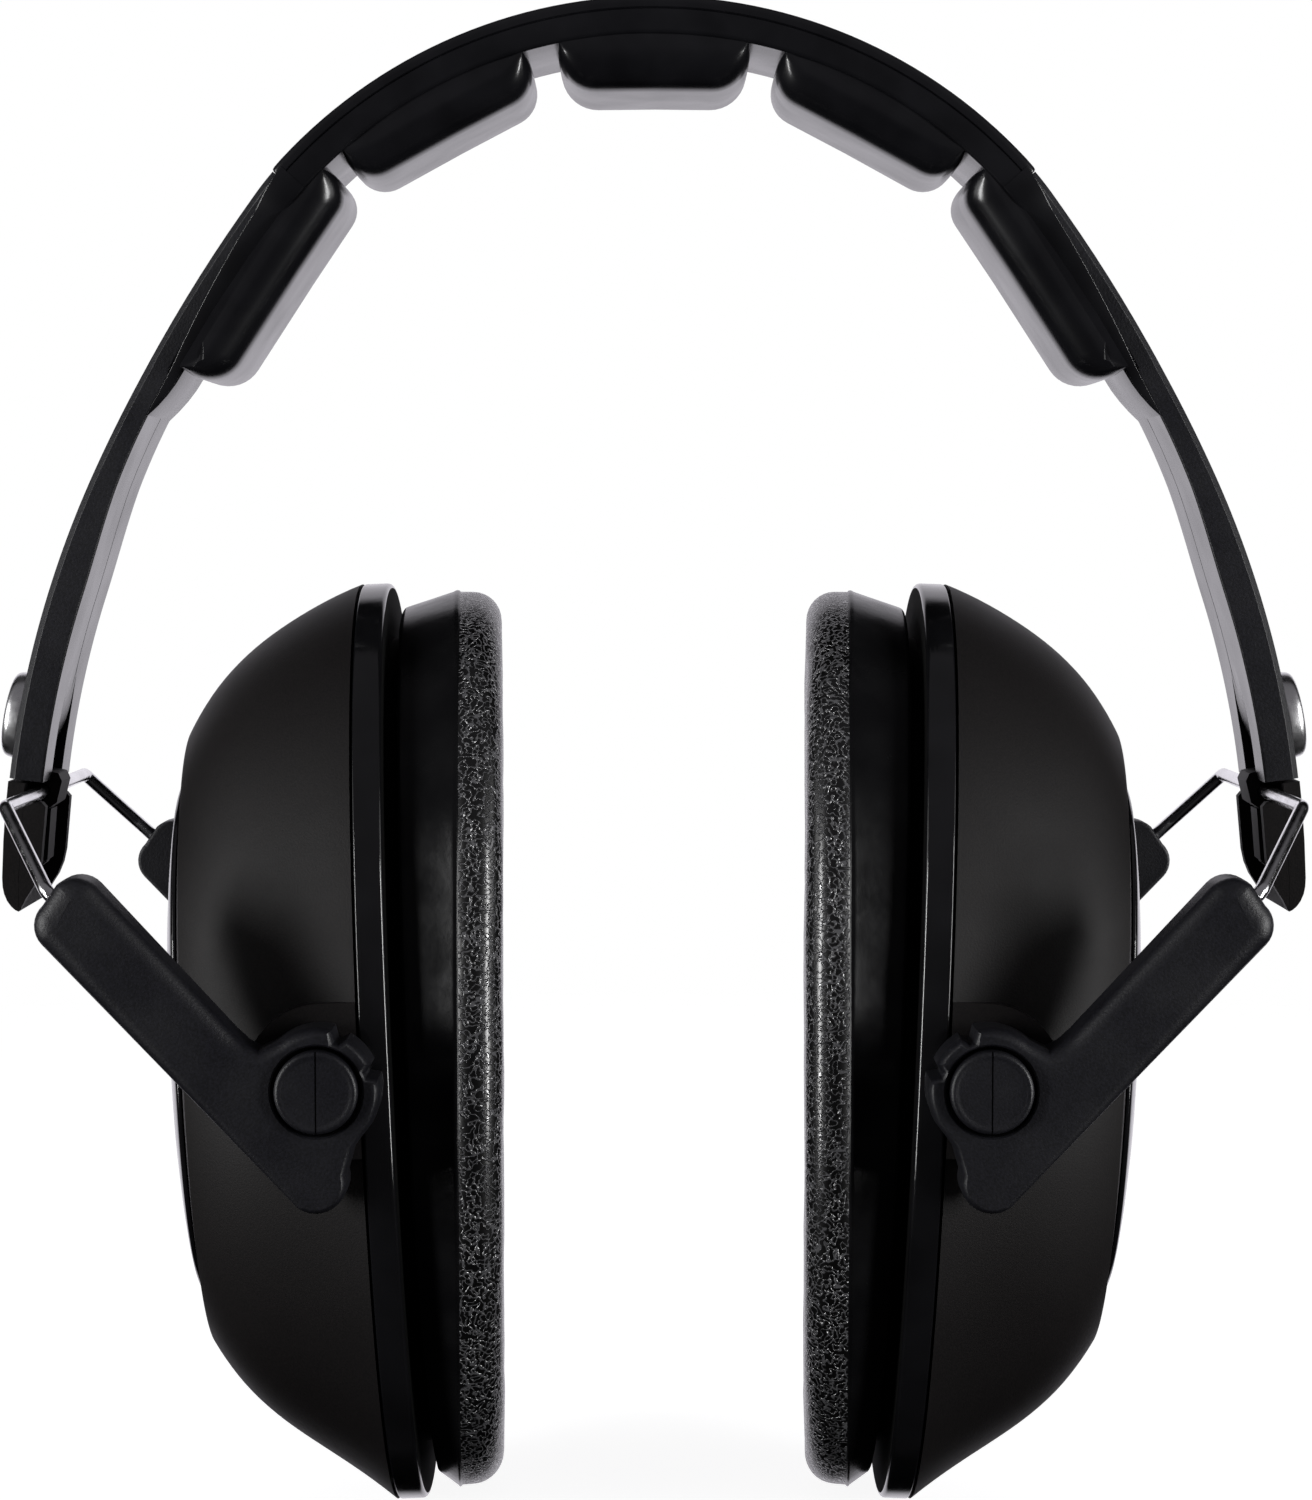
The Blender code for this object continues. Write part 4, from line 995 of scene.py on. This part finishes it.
def surroundings(scene):
    """Surroundings that reflect as bright behind the object, dark at its sides and dim in
    front of it, and that are plain white where the camera sees them."""
    world = bpy.data.worlds.new("studio")
    world.use_nodes = True
    nodes, links = world.node_tree.nodes, world.node_tree.links
    split = nodes.new("ShaderNodeSeparateXYZ")
    links.new(nodes.new("ShaderNodeTexCoord").outputs["Generated"], split.inputs[0])

    def ramp(axis, start, end, before, after):
        node = nodes.new("ShaderNodeMapRange")
        node.interpolation_type = "SMOOTHSTEP"
        for name, number in (("From Min", start), ("From Max", end), ("To Min", before),
                             ("To Max", after)):
            node.inputs[name].default_value = number
        links.new(split.outputs[axis], node.inputs["Value"])
        return node.outputs["Result"]

    def join(operation, first, second):
        node = nodes.new("ShaderNodeMath")
        node.operation = operation
        links.new(first, node.inputs[0])
        links.new(second, node.inputs[1])
        return node.outputs[0]

    behind = ramp("Y", *BEHIND_Y, 0.0, BEHIND_LEVEL)
    front = join("MULTIPLY", ramp("Y", *FRONT_Y, 1.0, FRONT_REMAINS),
                 ramp("Z", -0.5, 1.0, *FRONT_LEVELS))
    around = nodes["Background"]
    around.inputs["Color"].default_value = (0.96, 0.93, 1.0, 1.0)
    links.new(join("ADD", behind, front), around.inputs["Strength"])
    backdrop = nodes.new("ShaderNodeBackground")
    backdrop.inputs["Color"].default_value = (1.0, 1.0, 1.0, 1.0)
    blend = nodes.new("ShaderNodeMixShader")
    links.new(nodes.new("ShaderNodeLightPath").outputs["Is Camera Ray"], blend.inputs["Fac"])
    links.new(around.outputs[0], blend.inputs[1])
    links.new(backdrop.outputs[0], blend.inputs[2])
    links.new(blend.outputs[0], nodes["World Output"].inputs["Surface"])
    scene.world = world


def floor(height):
    """A pale disc that fades into the white surroundings and stays out of reflections."""
    bm = bmesh.new()
    bmesh.ops.create_circle(bm, cap_ends=True, segments=96, radius=FLOOR_RADIUS)
    disc = finish(bm, "floor")
    disc.location.z = height
    s = Shader("pale_floor", 0.9)
    s.shader.inputs["Base Color"].default_value = (0.4, 0.4, 0.41, 1.0)
    s.shader.inputs["Emission Color"].default_value = (1.0, 1.0, 1.0, 1.0)
    s.shader.inputs["Emission Strength"].default_value = FLOOR_GLOW
    length = s.nodes.new("ShaderNodeVectorMath")
    length.operation = "LENGTH"
    s.links.new(s.place, length.inputs[0])
    clear = s.nodes.new("ShaderNodeBsdfTransparent")
    blend = s.nodes.new("ShaderNodeMixShader")
    s.links.new(s.remap(length.outputs["Value"], *FLOOR_FADE, 0.0, 1.0), blend.inputs["Fac"])
    s.links.new(s.shader.outputs[0], blend.inputs[1])
    s.links.new(clear.outputs[0], blend.inputs[2])
    s.links.new(blend.outputs[0], s.nodes["Material Output"].inputs["Surface"])
    disc.data.materials.append(s.material)
    disc.visible_glossy = disc.visible_diffuse = False


# ---------------------------------------------------------------- assembly

def build():
    for name in ("Cube", "Light", "Camera"):
        if name in bpy.data.objects:
            bpy.data.objects.remove(bpy.data.objects[name])
    grained, satin, gloss = grained_plastic(), satin_plastic(), gloss_plastic()
    soft, foam = soft_pad(), foam_material()
    bright = steel_material("bright_steel", 0.12, 0.24)
    brushed = steel_material("satin_steel", 0.24, 0.36)
    painted_groove_shade = groove_shade_plastic()
    leather = (smooth_leather(), grained_leather())
    headband((grained, polished_plastic()))
    sleeve(soft)
    for name, *shape in PADS:
        if name == "centre":
            pad("centre_pad", *shape, 1, soft)
            continue
        for side, word in SIDES:
            pad("%s_%s_pad" % (word, name), *shape, side, soft)
    for side, word in SIDES:
        liner(side, word, soft)
        rivet(side, word, brushed)
        slider(side, word, satin)
        yoke_wire(side, word, bright)
        for sign, place in ((-1, "front"), (1, "rear")):
            arm(side, sign, word, place, grained)
            pivot_cap(side, sign, word, place, grained)
        cup_shell(side, word, satin)
        face_plate(side, word, gloss)
        rim(side, word, (gloss, painted_groove_shade))
        cup_foam(side, word, foam)
        cushion(side, word, *leather)


build()
studio()
